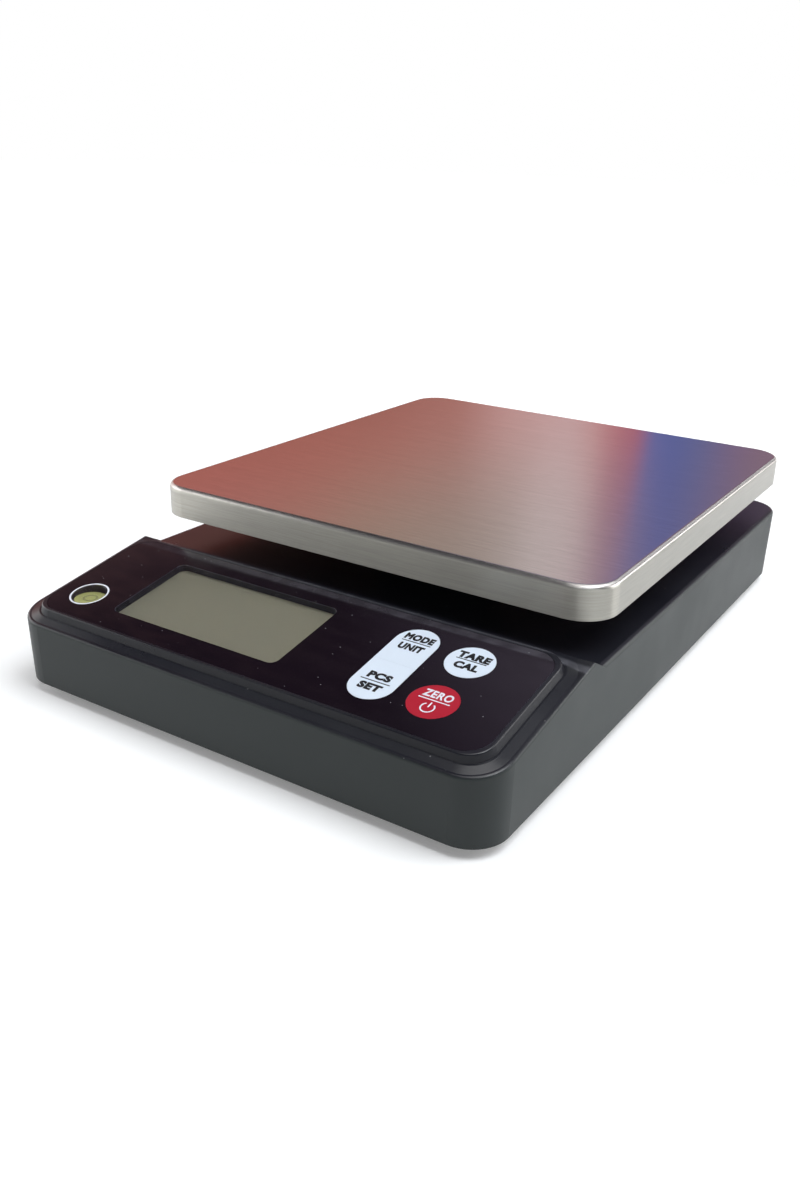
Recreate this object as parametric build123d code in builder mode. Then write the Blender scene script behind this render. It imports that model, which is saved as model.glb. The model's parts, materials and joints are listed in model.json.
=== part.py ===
from build123d import *
import os
from math import cos, pi, radians, sin, tan

# A compact bench counting scale. Millimetres, +Z up, +X to the user's right, +Y away from the user.
# The origin is on the table, under the middle of the scale's footprint.

# ---------------------------------------------------------------- driving dimensions
width = 180.0  # housing, left to right
depth = 255.0  # housing, front to back
corner_radius = 12.4  # plan corners
wall_draft = 1.0  # degrees, the walls lean in towards their foot
foot_height = 3.5  # the housing's rim stands this far off the table
front_wall_top = 24.9
panel_slope = 10.0  # degrees, the panel rises towards the pan
panel_run = 60.0  # plan depth of the sloped panel
riser_run = 6.0  # plan depth of the step down behind it
deck_z = 32.0  # flat deck under the pan
wall = 2.4  # housing wall
skin = 2.2  # panel floor and deck

pan_width = 176.8
pan_depth = 188.0
pan_top = 54.8
pan_skirt = 11.2
pan_sheet = 0.8
pan_rear_gap = 1.1  # the pan's rear edge lies this far inside the housing's

foot_x = 68.0
foot_y = 104.0
levelling_travel = 4.0  # each foot lifts its corner by up to this much

# ---------------------------------------------------------------- derived places
slope = radians(panel_slope)
front_y = -depth / 2
panel_length = panel_run / cos(slope)  # measured up the slope
panel_rear_y = front_y + panel_run
panel_rear_z = front_wall_top + panel_run * tan(slope)
riser_foot_y = panel_rear_y + riser_run
wall_lean = (panel_rear_z + 1 - deck_z) * tan(radians(wall_draft))
pan_y = depth / 2 - pan_rear_gap - pan_depth / 2
above_all = 90.0  # a height clear of the whole scale

panel_plane = Plane(
    origin=(0, front_y, front_wall_top),
    x_dir=(1, 0, 0),
    z_dir=(0, -sin(slope), cos(slope)),
)


def panel_at(height):
    """The panel's own plane, raised by height: x is the scale's x, y runs up the slope."""
    return panel_plane.offset(height)


def panel_yz(along, height):
    """The y and z of a point that far up the slope and that far above the panel's plane."""
    y = front_y + along * cos(slope) - height * sin(slope)
    z = front_wall_top + along * sin(slope) + height * cos(slope)
    return (y, z)


def panel_height(point):
    """How far a point lies above the panel's plane."""
    return panel_plane.to_local_coords(point).Z


def save(part, name):
    """Labels one finished piece and writes its STEP file."""
    part.label = name
    export_step(part, f"parts/{name}.step")


def grouped(parts):
    """Several separate solids as one node."""
    with BuildPart() as group:
        for part in parts:
            add(part)
    return group.part


os.makedirs("parts", exist_ok=True)

# ---------------------------------------------------------------- panel levels and layout
ledge_root = -0.2  # the ledge starts a little inside the wall tops
ledge_rise = 0.75  # the ledge's crest, above the wall-top plane
ledge_foot_inset = 0.8  # from the side walls
ledge_foot_front = 0.8
ledge_foot_rear = 62.5
ledge_crest_inset = 4.4
ledge_crest_front = 4.1
ledge_crest_rear = 57.9
bezel_root = 0.3
bezel_top = 3.2
bezel_foot_inset = 4.8  # at the sides; 0.8 less at the front
bezel_taper = 19.0  # degrees
deck_edge_radius = 1.8
panel_edge_radius = 1.0
bezel_lip_radius = 0.6
overlay_thickness = 0.6
panel_floor_top = bezel_top - overlay_thickness
panel_floor_under = panel_floor_top - skin

overlay_half = 83.0
overlay_front = 6.2
overlay_rear = 55.0
overlay_corner = 7.75
overlay_gap = 0.15
overlay_mid = (overlay_front + overlay_rear) / 2
overlay_length = overlay_rear - overlay_front

window_x = -23.85
window_s = 31.0
window_width = 67.1
window_length = 33.0
window_corner = 2.75

level_x = -71.8
level_s = 18.5
level_hole = 5.8

key_radius = 7.5
key_gap = 0.1
key_thickness = 0.8
key_travel = 0.3
key_pocket_floor = bezel_top - key_thickness - key_travel - 0.5
tare_place = (60.25, 41.1)
zero_place = (60.5, 20.65)
capsule_x = 41.0
capsule_s = 31.175
capsule_length = 36.85
capsule_width = 14.4
capsule_split = 0.05  # slit between the capsule's two key tops
mode_place = (capsule_x, capsule_s + capsule_length / 2 - capsule_width / 2)
pcs_place = (capsule_x, capsule_s - capsule_length / 2 + capsule_width / 2)
key_places = {"mode": mode_place, "pcs": pcs_place, "tare": tare_place, "zero": zero_place}
stem_radius = 1.9
stem_hole = 2.1

board_top = -6.4  # below the panel plane, on its normal
board_thickness = 1.6
board_bottom = board_top - board_thickness
board_left = -69.0
board_right = 75.5
board_front = 9.0
board_rear = 52.5
board_screw_places = [(18.0, 12.0), (18.0, 49.5), (71.5, 12.0), (71.5, 49.5), (-65.5, 45.0)]
board_boss = 2.8
board_pilot_radius = 1.2
board_pilot_depth = 5.4

# ---------------------------------------------------------------- places under the deck
housing_screw_places = [(x, y) for x in (-80.5, 80.5) for y in (-118.0, 50.0, 118.0)]
housing_boss = 3.6
housing_web = 1.6
housing_pilot_radius = 1.5
housing_pilot_depth = 11.0
lower_plate_bottom = 4.0
lower_plate_top = 6.0
screw_post_top = 9.0
screw_seat = lower_plate_bottom + 0.4  # outer faces of the screw heads

cell_length = 100.0
cell_width = 22.0
cell_bottom = 10.5
cell_top = 23.5
cell_front = pan_y - cell_length / 2
cell_rear = pan_y + cell_length / 2
cell_screw_y = [cell_rear - 16.0, cell_rear - 5.5]
cell_screw_clearance = 2.3
cell_thread_radius = 2.05
cell_thread_depth = 10.0
hub_screw_y = [cell_front + 5.5, cell_front + 16.0]
hub_y = cell_front + 10.75
hub_width = 34.0
hub_depth = 36.0
hub_hole_gap = 2.5
plate_thickness = 2.0
hub_bottom = cell_top + plate_thickness
hub_floor = 4.0
hub_collar_bottom = 24.0
hub_collar_wall = 2.0

deck_rib_places = [(x, 75.0) for x in (-60.0, -30.0, 30.0, 60.0)]
deck_rib_thickness = 1.4
deck_rib_length = 90.0
deck_rib_height = 3.0

vial_radius = 5.4
vial_height = 7.0
vial_y, vial_top = panel_yz(level_s, 1.2)
vial_fit = 0.15
vial_socket = 7.2
vial_socket_bottom = vial_top - 6.0

# ================================================================ upper housing
with BuildPart() as housing_room:
    # the space inside the walls
    with BuildSketch(Plane.XY):
        RectangleRounded(width - 2 * wall, depth - 2 * wall, corner_radius - wall)
    extrude(amount=above_all)
    # under the ceiling of panel, riser and deck
    with BuildSketch(Plane.YZ):
        with BuildLine():
            Polyline(
                panel_yz(-wall, -skin),
                panel_yz(panel_length - 1.4, -skin),
                (riser_foot_y - 1.2, deck_z - skin),
                (depth, deck_z - skin),
                (depth, 2 * above_all),
                (-depth, 2 * above_all),
                (-depth, front_wall_top),
                close=True,
            )
        make_face()
    extrude(amount=width, both=True, mode=Mode.SUBTRACT)
    # the ceiling is higher where the overlay's pocket is let in from above
    with BuildSketch(panel_at(-2 * skin)):
        with Locations((0, overlay_mid)):
            Rectangle(2 * overlay_half - 6, overlay_length - 4)
    extrude(amount=2 * skin + panel_floor_under)
    # bosses for the housing screws hang from the ceiling
    with BuildSketch(Plane.XY.offset(screw_post_top)):
        with Locations(housing_screw_places):
            Circle(housing_boss)
    extrude(amount=above_all, mode=Mode.SUBTRACT)
    # webs tie those bosses to the side walls
    with BuildSketch(Plane.XY.offset(screw_post_top + 3)):
        for boss_x, boss_y in housing_screw_places:
            with Locations((boss_x * 1.05, boss_y)):
                Rectangle(9, housing_web)
    extrude(amount=above_all, mode=Mode.SUBTRACT)
    # bosses for the circuit board stand square to the panel
    with BuildSketch(panel_at(board_top)):
        with Locations(board_screw_places):
            Circle(board_boss)
    extrude(amount=above_all / 3, mode=Mode.SUBTRACT)
    # socket of the level vial, upright
    with BuildSketch(Plane.XY.offset(vial_socket_bottom)):
        with Locations((level_x, vial_y)):
            Circle(vial_socket)
    extrude(amount=above_all, mode=Mode.SUBTRACT)
    # collar round the hole for the pan support's hub
    with BuildSketch(Plane.XY.offset(hub_collar_bottom)):
        with Locations((0, hub_y)):
            Rectangle(
                hub_width + 2 * (hub_hole_gap + hub_collar_wall),
                hub_depth + 2 * (hub_hole_gap + hub_collar_wall),
            )
            Rectangle(
                hub_width + 2 * hub_hole_gap,
                hub_depth + 2 * hub_hole_gap,
                mode=Mode.SUBTRACT,
            )
    extrude(amount=above_all, mode=Mode.SUBTRACT)
    # stiffening ribs under the deck
    with BuildSketch(Plane.XY.offset(deck_z - skin - deck_rib_height)):
        with Locations(deck_rib_places):
            Rectangle(deck_rib_thickness, deck_rib_length)
    extrude(amount=above_all, mode=Mode.SUBTRACT)

with BuildPart() as upper_housing:
    # leaning walls, at full size where they meet the deck
    with BuildSketch(Plane.XY.offset(panel_rear_z + 1)):
        RectangleRounded(width + 2 * wall_lean, depth + 2 * wall_lean, corner_radius + wall_lean)
    extrude(amount=-(panel_rear_z + 1 - foot_height), taper=wall_draft)
    # sloped panel, riser and deck
    with BuildSketch(Plane.YZ):
        with BuildLine():
            Polyline(
                panel_yz(-20, 0),
                (panel_rear_y, panel_rear_z),
                (riser_foot_y, deck_z),
                (depth, deck_z),
                (depth, above_all),
                (-depth, above_all),
                close=True,
            )
        make_face()
    extrude(amount=width, both=True, mode=Mode.SUBTRACT)
    # the deck's outer edges are rounded, and the panel's a little less
    deck_edges = (
        upper_housing.edges()
        .filter_by(lambda e: abs(e.center().Z - deck_z) < 0.05)
        .filter_by(lambda e: e.center().Y > riser_foot_y + 1)
    )
    fillet(deck_edges, deck_edge_radius)
    panel_edges = (
        upper_housing.edges()
        .filter_by(lambda e: abs(panel_height(e.center())) < 0.05)
        .filter_by(lambda e: e.center().Y < panel_rear_y - 1)
    )
    fillet(panel_edges, panel_edge_radius)
    # the ledge that rises gently towards the bezel
    with BuildSketch(panel_at(ledge_root)):
        with Locations((0, (ledge_foot_front + ledge_foot_rear) / 2)):
            RectangleRounded(
                width - 2 * ledge_foot_inset,
                ledge_foot_rear - ledge_foot_front,
                corner_radius - ledge_foot_inset,
            )
    with BuildSketch(panel_at(ledge_rise)):
        with Locations((0, (ledge_crest_front + ledge_crest_rear) / 2)):
            RectangleRounded(
                width - 2 * ledge_crest_inset,
                ledge_crest_rear - ledge_crest_front,
                corner_radius - ledge_crest_inset,
            )
    loft(ruled=True)
    # the raised bezel
    with BuildSketch(panel_at(bezel_root)):
        with Locations((0, overlay_mid + 0.2)):
            RectangleRounded(
                width - 2 * bezel_foot_inset,
                overlay_length + 4.4,
                corner_radius - bezel_foot_inset + 0.8,
            )
    extrude(amount=bezel_top - bezel_root, taper=bezel_taper)
    # behind its rear edge the panel drops straight to the riser
    with BuildSketch(Plane.YZ):
        with BuildLine():
            Polyline(
                (panel_rear_y, panel_rear_z),
                panel_yz(panel_length, 10),
                (riser_foot_y, panel_rear_z + 10),
                (riser_foot_y, deck_z),
                close=True,
            )
        make_face()
    extrude(amount=width, both=True, mode=Mode.SUBTRACT)
    # the bezel's lip is rounded
    lip = upper_housing.edges().filter_by(
        lambda e: abs(panel_height(e.center()) - bezel_top) < 0.02
    )
    fillet(lip, bezel_lip_radius)
    # the overlay's pocket
    with BuildSketch(panel_at(panel_floor_top)):
        with Locations((0, overlay_mid)):
            RectangleRounded(
                2 * (overlay_half + overlay_gap),
                overlay_length + 2 * overlay_gap,
                overlay_corner + overlay_gap,
            )
    extrude(amount=skin, mode=Mode.SUBTRACT)
    add(housing_room.part, mode=Mode.SUBTRACT)
    # openings of the display and the level
    with BuildSketch(panel_at(-2)):
        with Locations((window_x, window_s)):
            RectangleRounded(window_width, window_length, window_corner)
        with Locations((level_x, level_s)):
            Circle(level_hole)
    extrude(amount=bezel_top + 2, mode=Mode.SUBTRACT)
    # pockets that let the key tops sink, and the holes of their stems
    with BuildSketch(panel_at(key_pocket_floor)):
        with Locations(tare_place, zero_place):
            Circle(key_radius + key_gap)
        with Locations((capsule_x, capsule_s)):
            SlotOverall(capsule_length + 2 * key_gap, capsule_width + 2 * key_gap, rotation=90)
    extrude(amount=bezel_top, mode=Mode.SUBTRACT)
    with BuildSketch(panel_at(-1)):
        with Locations(*key_places.values()):
            Circle(stem_hole)
    extrude(amount=bezel_top + 1, mode=Mode.SUBTRACT)
    # bore of the vial's socket
    with BuildSketch(Plane.XY.offset(vial_socket_bottom)):
        with Locations((level_x, vial_y)):
            Circle(vial_radius + vial_fit)
    extrude(amount=vial_top + vial_fit - vial_socket_bottom, mode=Mode.SUBTRACT)
    # hole for the hub
    with BuildSketch(Plane.XY.offset(hub_collar_bottom)):
        with Locations((0, hub_y)):
            Rectangle(hub_width + 2 * hub_hole_gap, hub_depth + 2 * hub_hole_gap)
    extrude(amount=above_all, mode=Mode.SUBTRACT)
    # pilot bores of the screws
    with BuildSketch(Plane.XY.offset(screw_post_top)):
        with Locations(housing_screw_places):
            Circle(housing_pilot_radius)
    extrude(amount=housing_pilot_depth, mode=Mode.SUBTRACT)
    with BuildSketch(panel_at(board_top)):
        with Locations(board_screw_places):
            Circle(board_pilot_radius)
    extrude(amount=board_pilot_depth, mode=Mode.SUBTRACT)
save(upper_housing.part, "upper_housing")

# ================================================================ panel sheet, windows and keys
with BuildPart() as panel_overlay:
    with BuildSketch(panel_at(panel_floor_top)):
        with Locations((0, overlay_mid)):
            RectangleRounded(2 * overlay_half, overlay_length, overlay_corner)
        with Locations((window_x, window_s)):
            RectangleRounded(window_width, window_length, window_corner, mode=Mode.SUBTRACT)
        with Locations((level_x, level_s)):
            Circle(level_hole, mode=Mode.SUBTRACT)
        with Locations(tare_place, zero_place):
            Circle(key_radius + key_gap, mode=Mode.SUBTRACT)
        with Locations((capsule_x, capsule_s)):
            SlotOverall(
                capsule_length + 2 * key_gap,
                capsule_width + 2 * key_gap,
                rotation=90,
                mode=Mode.SUBTRACT,
            )
    extrude(amount=overlay_thickness)
save(panel_overlay.part, "panel_overlay")

with BuildPart() as lcd_window:
    with BuildSketch(panel_at(panel_floor_top)):
        with Locations((window_x, window_s)):
            RectangleRounded(window_width, window_length, window_corner)
    extrude(amount=overlay_thickness)
save(lcd_window.part, "lcd_window")

with BuildPart() as level_window:
    with BuildSketch(panel_at(panel_floor_top)):
        with Locations((level_x, level_s)):
            Circle(level_hole)
    extrude(amount=overlay_thickness)
save(level_window.part, "level_window")

switch_top = board_top + 3.4
plunger_rise = 1.3
plunger_top = switch_top + plunger_rise


def round_top(place):
    """Outline of a round key top."""
    with BuildSketch(panel_at(bezel_top - key_thickness)) as outline:
        with Locations(place):
            Circle(key_radius)
    return outline.sketch


def capsule_half(side):
    """Outline of the capsule's rear half, side 1, or its front half, side -1."""
    with BuildSketch(panel_at(bezel_top - key_thickness)) as outline:
        with Locations((capsule_x, capsule_s)):
            SlotOverall(capsule_length, capsule_width, rotation=90)
        with Locations((capsule_x, capsule_s + side * (capsule_length + capsule_split) / 2)):
            Rectangle(capsule_width + 2, capsule_length, mode=Mode.INTERSECT)
    return outline.sketch


def key_piece(outline, place):
    """A key top with the stem that reaches down to its switch."""
    with BuildPart() as key:
        extrude(outline, amount=key_thickness)
        with BuildSketch(panel_at(plunger_top)):
            with Locations(place):
                Circle(stem_radius)
        extrude(amount=bezel_top - key_thickness - plunger_top)
    return key.part


key_outlines = {
    "mode": capsule_half(1),
    "pcs": capsule_half(-1),
    "tare": round_top(tare_place),
    "zero": round_top(zero_place),
}
for key_name, key_place in key_places.items():
    save(key_piece(key_outlines[key_name], key_place), f"key_{key_name}")

# ================================================================ switches under the keys
switch_size = 6.0
plunger_radius = 1.7
plunger_depth = 0.6  # of the plunger inside the switch body
plunger_bore_depth = 1.4

with BuildPart() as key_switches:
    with BuildSketch(panel_at(board_top)):
        with Locations(*key_places.values()):
            Rectangle(switch_size, switch_size)
    extrude(amount=switch_top - board_top)
    with BuildSketch(panel_at(switch_top - plunger_bore_depth)):
        with Locations(*key_places.values()):
            Circle(plunger_radius + 0.08)
    extrude(amount=plunger_bore_depth, mode=Mode.SUBTRACT)
save(key_switches.part, "key_switches")


def plunger(place):
    """The round actuator that stands out of one switch."""
    with BuildPart() as actuator:
        with BuildSketch(panel_at(switch_top - plunger_depth)):
            with Locations(place):
                Circle(plunger_radius)
        extrude(amount=plunger_depth + plunger_rise)
    return actuator.part


for key_name, key_place in key_places.items():
    save(plunger(key_place), f"plunger_{key_name}")

# ================================================================ display
glass_width = 72.5
glass_length = 38.4
glass_thickness = 2.8
glass_under = panel_floor_under - glass_thickness
frame_rim = 1.5
strip_length = 60.0
strip_width = 2.2
strip_offset = 16.6  # from the display's middle, up and down the slope
frame_bar = 3.5  # of the frame, between its strip slots and its middle opening

with BuildPart() as lcd_glass:
    with BuildSketch(panel_at(glass_under)):
        with Locations((window_x, window_s)):
            Rectangle(glass_width, glass_length)
    extrude(amount=glass_thickness)
save(lcd_glass.part, "lcd_glass")

with BuildPart() as lcd_frame:
    with BuildSketch(panel_at(board_top)):
        with Locations((window_x, window_s)):
            Rectangle(glass_width + 2 * frame_rim, glass_length + 2 * frame_rim - 0.6)
    extrude(amount=panel_floor_under - 0.2 - board_top)
    with BuildSketch(panel_at(glass_under)):
        with Locations((window_x, window_s)):
            Rectangle(glass_width + 0.2, glass_length + 0.2)
    extrude(amount=glass_thickness, mode=Mode.SUBTRACT)
    with BuildSketch(panel_at(board_top)):
        with Locations((window_x, window_s)):
            Rectangle(strip_length, 2 * (strip_offset - frame_bar))
            with Locations((0, -strip_offset), (0, strip_offset)):
                Rectangle(strip_length + 0.4, strip_width + 0.3)
    extrude(amount=glass_under - board_top, mode=Mode.SUBTRACT)
save(lcd_frame.part, "lcd_frame")

with BuildPart() as lcd_connectors:
    with BuildSketch(panel_at(board_top)):
        with Locations(
            (window_x, window_s - strip_offset),
            (window_x, window_s + strip_offset),
        ):
            Rectangle(strip_length, strip_width)
    extrude(amount=glass_under - board_top)
save(lcd_connectors.part, "lcd_connectors")

# ================================================================ level vial
vial_bottom = vial_top - vial_height
vial_wall = 1.0
cap_thickness = 1.2
bubble_radius = 1.7

with BuildPart() as level_vial:
    with BuildSketch(Plane.XY.offset(vial_bottom)):
        with Locations((level_x, vial_y)):
            Circle(vial_radius)
    extrude(amount=vial_height - cap_thickness)
    with BuildSketch(Plane.XY.offset(vial_bottom + vial_wall)):
        with Locations((level_x, vial_y)):
            Circle(vial_radius - vial_wall)
    extrude(amount=vial_height, mode=Mode.SUBTRACT)
save(level_vial.part, "level_vial")

with BuildPart() as level_cap:
    with BuildSketch(Plane.XY.offset(vial_top - cap_thickness)):
        with Locations((level_x, vial_y)):
            Circle(vial_radius)
    extrude(amount=cap_thickness)
    fillet(level_cap.edges().group_by(Axis.Z)[-1], 0.3)
save(level_cap.part, "level_cap")

with BuildPart() as level_fluid:
    with BuildSketch(Plane.XY.offset(vial_bottom + vial_wall)):
        with Locations((level_x, vial_y)):
            Circle(vial_radius - vial_wall)
    extrude(amount=vial_height - cap_thickness - vial_wall)
    # the bubble floats under the cap
    with Locations((level_x, vial_y, vial_top - cap_thickness)):
        Sphere(bubble_radius, mode=Mode.SUBTRACT)
save(level_fluid.part, "level_fluid")

# ================================================================ circuit board
with BuildPart() as main_board:
    with BuildSketch(panel_at(board_bottom)):
        with Locations(((board_left + board_right) / 2, (board_front + board_rear) / 2)):
            Rectangle(board_right - board_left, board_rear - board_front)
        with Locations(*board_screw_places):
            Circle(1.4, mode=Mode.SUBTRACT)
        # the board clears the vial's socket
        with Locations((level_x, level_s)):
            Circle(vial_socket + 2, mode=Mode.SUBTRACT)
    extrude(amount=board_thickness)
save(main_board.part, "main_board")

mcu_place = (-24.0, 31.0)
adc_place = (46.0, 31.0)
crystal_place = (-2.0, 31.0)
crystal_length = 10.0
crystal_width = 4.0
crystal_height = 2.6
pin_thickness = 0.3
socket_places = [(-50.0, 47.0), (30.0, 47.0)]
socket_width = 8.0
socket_length = 5.0
socket_height = 5.0


def board_chip(place, chip_width, chip_length, chip_height, pins):
    """A flat chip under the board, with a row of flat pins along each side."""
    with BuildPart() as chip:
        with BuildSketch(panel_at(board_bottom - chip_height)):
            with Locations(place):
                Rectangle(chip_width, chip_length)
        extrude(amount=chip_height)
        with BuildSketch(panel_at(board_bottom - pin_thickness)):
            with Locations(place):
                with GridLocations(0.9 * chip_width / pins, chip_length + 1.2, pins, 2):
                    Rectangle(0.4 * chip_width / pins, 1.3)
        extrude(amount=pin_thickness)
    return chip.part


save(board_chip(mcu_place, 14.0, 14.0, 1.6, 12), "mcu_chip")
save(board_chip(adc_place, 9.0, 4.0, 1.5, 8), "adc_chip")

with BuildPart() as crystal:
    with BuildSketch(panel_at(board_bottom - crystal_height)):
        with Locations(crystal_place):
            SlotOverall(crystal_length, crystal_width)
    extrude(amount=crystal_height)
save(crystal.part, "crystal")

with BuildPart() as board_sockets:
    with BuildSketch(panel_at(board_bottom - socket_height)):
        with Locations(*socket_places):
            Rectangle(socket_width, socket_length)
    extrude(amount=socket_height)
save(board_sockets.part, "board_sockets")


def screw(plane, head_radius, head_height, shank_radius, shank_length):
    """A cross-head screw. The plane holds the outer face of its head, and its normal points inwards."""
    with BuildPart() as whole:
        with BuildSketch(plane):
            Circle(head_radius)
        extrude(amount=head_height)
        rim = whole.edges().filter_by(GeomType.CIRCLE).sort_by_distance(plane.origin)[0]
        fillet(rim, 0.3 * head_height)
        with BuildSketch(plane.offset(head_height)):
            Circle(shank_radius)
        extrude(amount=shank_length)
        with BuildSketch(plane):
            Rectangle(1.1 * head_radius, 0.28 * head_radius)
            Rectangle(0.28 * head_radius, 1.1 * head_radius)
        extrude(amount=0.55 * head_height, mode=Mode.SUBTRACT)
    return whole.part


def upward(x, y, z):
    """A plane at that point whose normal points up."""
    return Plane(origin=(x, y, z), x_dir=(1, 0, 0), z_dir=(0, 0, 1))


def downward(x, y, z):
    """A plane at that point whose normal points down."""
    return Plane(origin=(x, y, z), x_dir=(1, 0, 0), z_dir=(0, 0, -1))


board_screw_head = 1.6
board_screws = []
for screw_x, screw_s in board_screw_places:
    screw_y, screw_z = panel_yz(screw_s, board_bottom - board_screw_head)
    head_plane = Plane(origin=(screw_x, screw_y, screw_z), x_dir=(1, 0, 0), z_dir=panel_plane.z_dir)
    board_screws.append(screw(head_plane, 2.4, board_screw_head, 1.15, 6.0))
save(grouped(board_screws), "board_screws")

# ================================================================ lower housing
bay_left = -79.0
bay_right = -21.0
battery_pitch = 14.8
battery_radius = 7.25
battery_count = 4
bay_front = -34.0
bay_rear = bay_front + battery_count * battery_pitch
bay_top = 22.0
bay_wall = 1.6
door_gap = 0.4
door_bottom = 4.2
pocket_left = bay_left - 1.0
pocket_right = bay_right + 1.0
pocket_front = bay_front - 2.5
pocket_rear = bay_rear + 1.3
hinge_tab_x = [-65.0, -35.0]
hinge_tab_width = 8.0

foot_places = [(x, y) for y in (-foot_y, foot_y) for x in (-foot_x, foot_x)]
foot_well_radius = 12.0
foot_well_top = 7.6
foot_boss_top = 17.0
insert_radius = 4.2
insert_bottom = 9.5
stud_radius = 3.0

stop_screw_y = hub_screw_y[0] + 1.0
stop_screw_radius = 2.5
stop_screw_gap = 0.6  # above and below it

plate_gap = 0.2  # between the plate's edge and the walls
plate_width = width - 2 * (wall + plate_gap)
plate_depth = depth - 2 * (wall + plate_gap)
plate_corner = corner_radius - wall - plate_gap
upstand_thickness = 1.6
upstand_height = 2.5
plate_rib_thickness = 1.6
plate_rib_height = 2.4
screw_post_radius = 4.5
well_wall = 1.6
cell_platform_width = 34.0
cell_platform_depth = 26.0
rating_label_place = (48.0, -20.0)
rating_label_width = 50.0
rating_label_depth = 30.0
rating_label_recess = 0.4

with BuildPart() as lower_housing:
    with BuildSketch(Plane.XY.offset(lower_plate_bottom)):
        RectangleRounded(plate_width, plate_depth, plate_corner)
    extrude(amount=lower_plate_top - lower_plate_bottom)
    # upstand that stiffens the plate's edge
    with BuildSketch(Plane.XY.offset(lower_plate_top)):
        RectangleRounded(plate_width, plate_depth, plate_corner)
        RectangleRounded(
            plate_width - 2 * upstand_thickness,
            plate_depth - 2 * upstand_thickness,
            plate_corner - upstand_thickness,
            mode=Mode.SUBTRACT,
        )
    extrude(amount=upstand_height)
    # posts under the upper housing's bosses
    with BuildSketch(Plane.XY.offset(lower_plate_top)):
        with Locations(housing_screw_places):
            Circle(screw_post_radius)
    extrude(amount=screw_post_top - lower_plate_top)
    # battery bay: walls and roof
    with BuildSketch(Plane.XY.offset(lower_plate_bottom)):
        with Locations(((bay_left + bay_right) / 2, (bay_front + bay_rear) / 2)):
            Rectangle(bay_right - bay_left + 2 * bay_wall, bay_rear - bay_front + 2 * bay_wall)
    extrude(amount=bay_top + bay_wall - lower_plate_bottom)
    # wells of the levelling feet, and their threaded bosses
    with BuildSketch(Plane.XY.offset(lower_plate_top)):
        with Locations(foot_places):
            Circle(foot_well_radius + well_wall)
    extrude(amount=insert_bottom - lower_plate_top)
    with BuildSketch(Plane.XY.offset(insert_bottom)):
        with Locations(foot_places):
            Circle(insert_radius + 2.0)
    extrude(amount=foot_boss_top - insert_bottom)
    # platform under the fixed end of the load cell
    with BuildSketch(Plane.XY.offset(lower_plate_top)):
        with Locations((0, (cell_screw_y[0] + cell_screw_y[1]) / 2)):
            Rectangle(cell_platform_width, cell_platform_depth)
    extrude(amount=cell_bottom - plate_thickness - lower_plate_top)
    # boss of the overload stop
    with BuildSketch(Plane.XY.offset(lower_plate_top)):
        with Locations((0, stop_screw_y)):
            Circle(stop_screw_radius + 3)
    extrude(amount=2.5)
    # ribs across the plate
    with BuildSketch(Plane.XY.offset(lower_plate_top)):
        for rib_x in (-12, 12):
            with Locations((rib_x, 0)):
                Rectangle(plate_rib_thickness, plate_depth - upstand_thickness)
        for rib_y in (-60, 95):
            with Locations((0, rib_y)):
                Rectangle(plate_width - upstand_thickness, plate_rib_thickness)
    extrude(amount=plate_rib_height)
    # everything above is cut open again from below: battery bay and door pocket
    with BuildSketch(Plane.XY.offset(lower_plate_top)):
        with Locations(((bay_left + bay_right) / 2, (bay_front + bay_rear) / 2)):
            Rectangle(bay_right - bay_left, bay_rear - bay_front)
    extrude(amount=bay_top - lower_plate_top, mode=Mode.SUBTRACT)
    with BuildSketch(Plane.XY.offset(lower_plate_bottom)):
        with Locations(((pocket_left + pocket_right) / 2, (pocket_front + pocket_rear) / 2)):
            Rectangle(pocket_right - pocket_left, pocket_rear - pocket_front)
    extrude(amount=lower_plate_top - lower_plate_bottom, mode=Mode.SUBTRACT)
    # windows in the bay's rear wall for the door's hooks
    with BuildSketch(Plane.XY.offset(lower_plate_top)):
        for tab_x in hinge_tab_x:
            with Locations((tab_x, bay_rear + 1.0)):
                Rectangle(hinge_tab_width + 1.2, 5.0)
    extrude(amount=5, mode=Mode.SUBTRACT)
    # finger recess in front of the door
    with BuildSketch(Plane.XY.offset(lower_plate_bottom)):
        with Locations(((bay_left + bay_right) / 2, pocket_front)):
            SlotOverall(18, 8)
    extrude(amount=1.0, mode=Mode.SUBTRACT)
    # foot wells and the bores of their inserts
    with BuildSketch(Plane.XY.offset(lower_plate_bottom)):
        with Locations(foot_places):
            Circle(foot_well_radius)
    extrude(amount=foot_well_top - lower_plate_bottom, mode=Mode.SUBTRACT)
    with BuildSketch(Plane.XY.offset(foot_well_top)):
        with Locations(foot_places):
            Circle(stud_radius + 0.5)
    extrude(amount=insert_bottom - foot_well_top, mode=Mode.SUBTRACT)
    with BuildSketch(Plane.XY.offset(insert_bottom)):
        with Locations(foot_places):
            Circle(insert_radius)
    extrude(amount=foot_boss_top - insert_bottom, mode=Mode.SUBTRACT)
    # counterbored holes of the housing screws
    with BuildSketch(Plane.XY.offset(lower_plate_bottom)):
        with Locations(housing_screw_places):
            Circle(3.2)
    extrude(amount=2.5, mode=Mode.SUBTRACT)
    with BuildSketch(Plane.XY.offset(lower_plate_bottom)):
        with Locations(housing_screw_places):
            Circle(1.7)
    extrude(amount=screw_post_top - lower_plate_bottom, mode=Mode.SUBTRACT)
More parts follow.
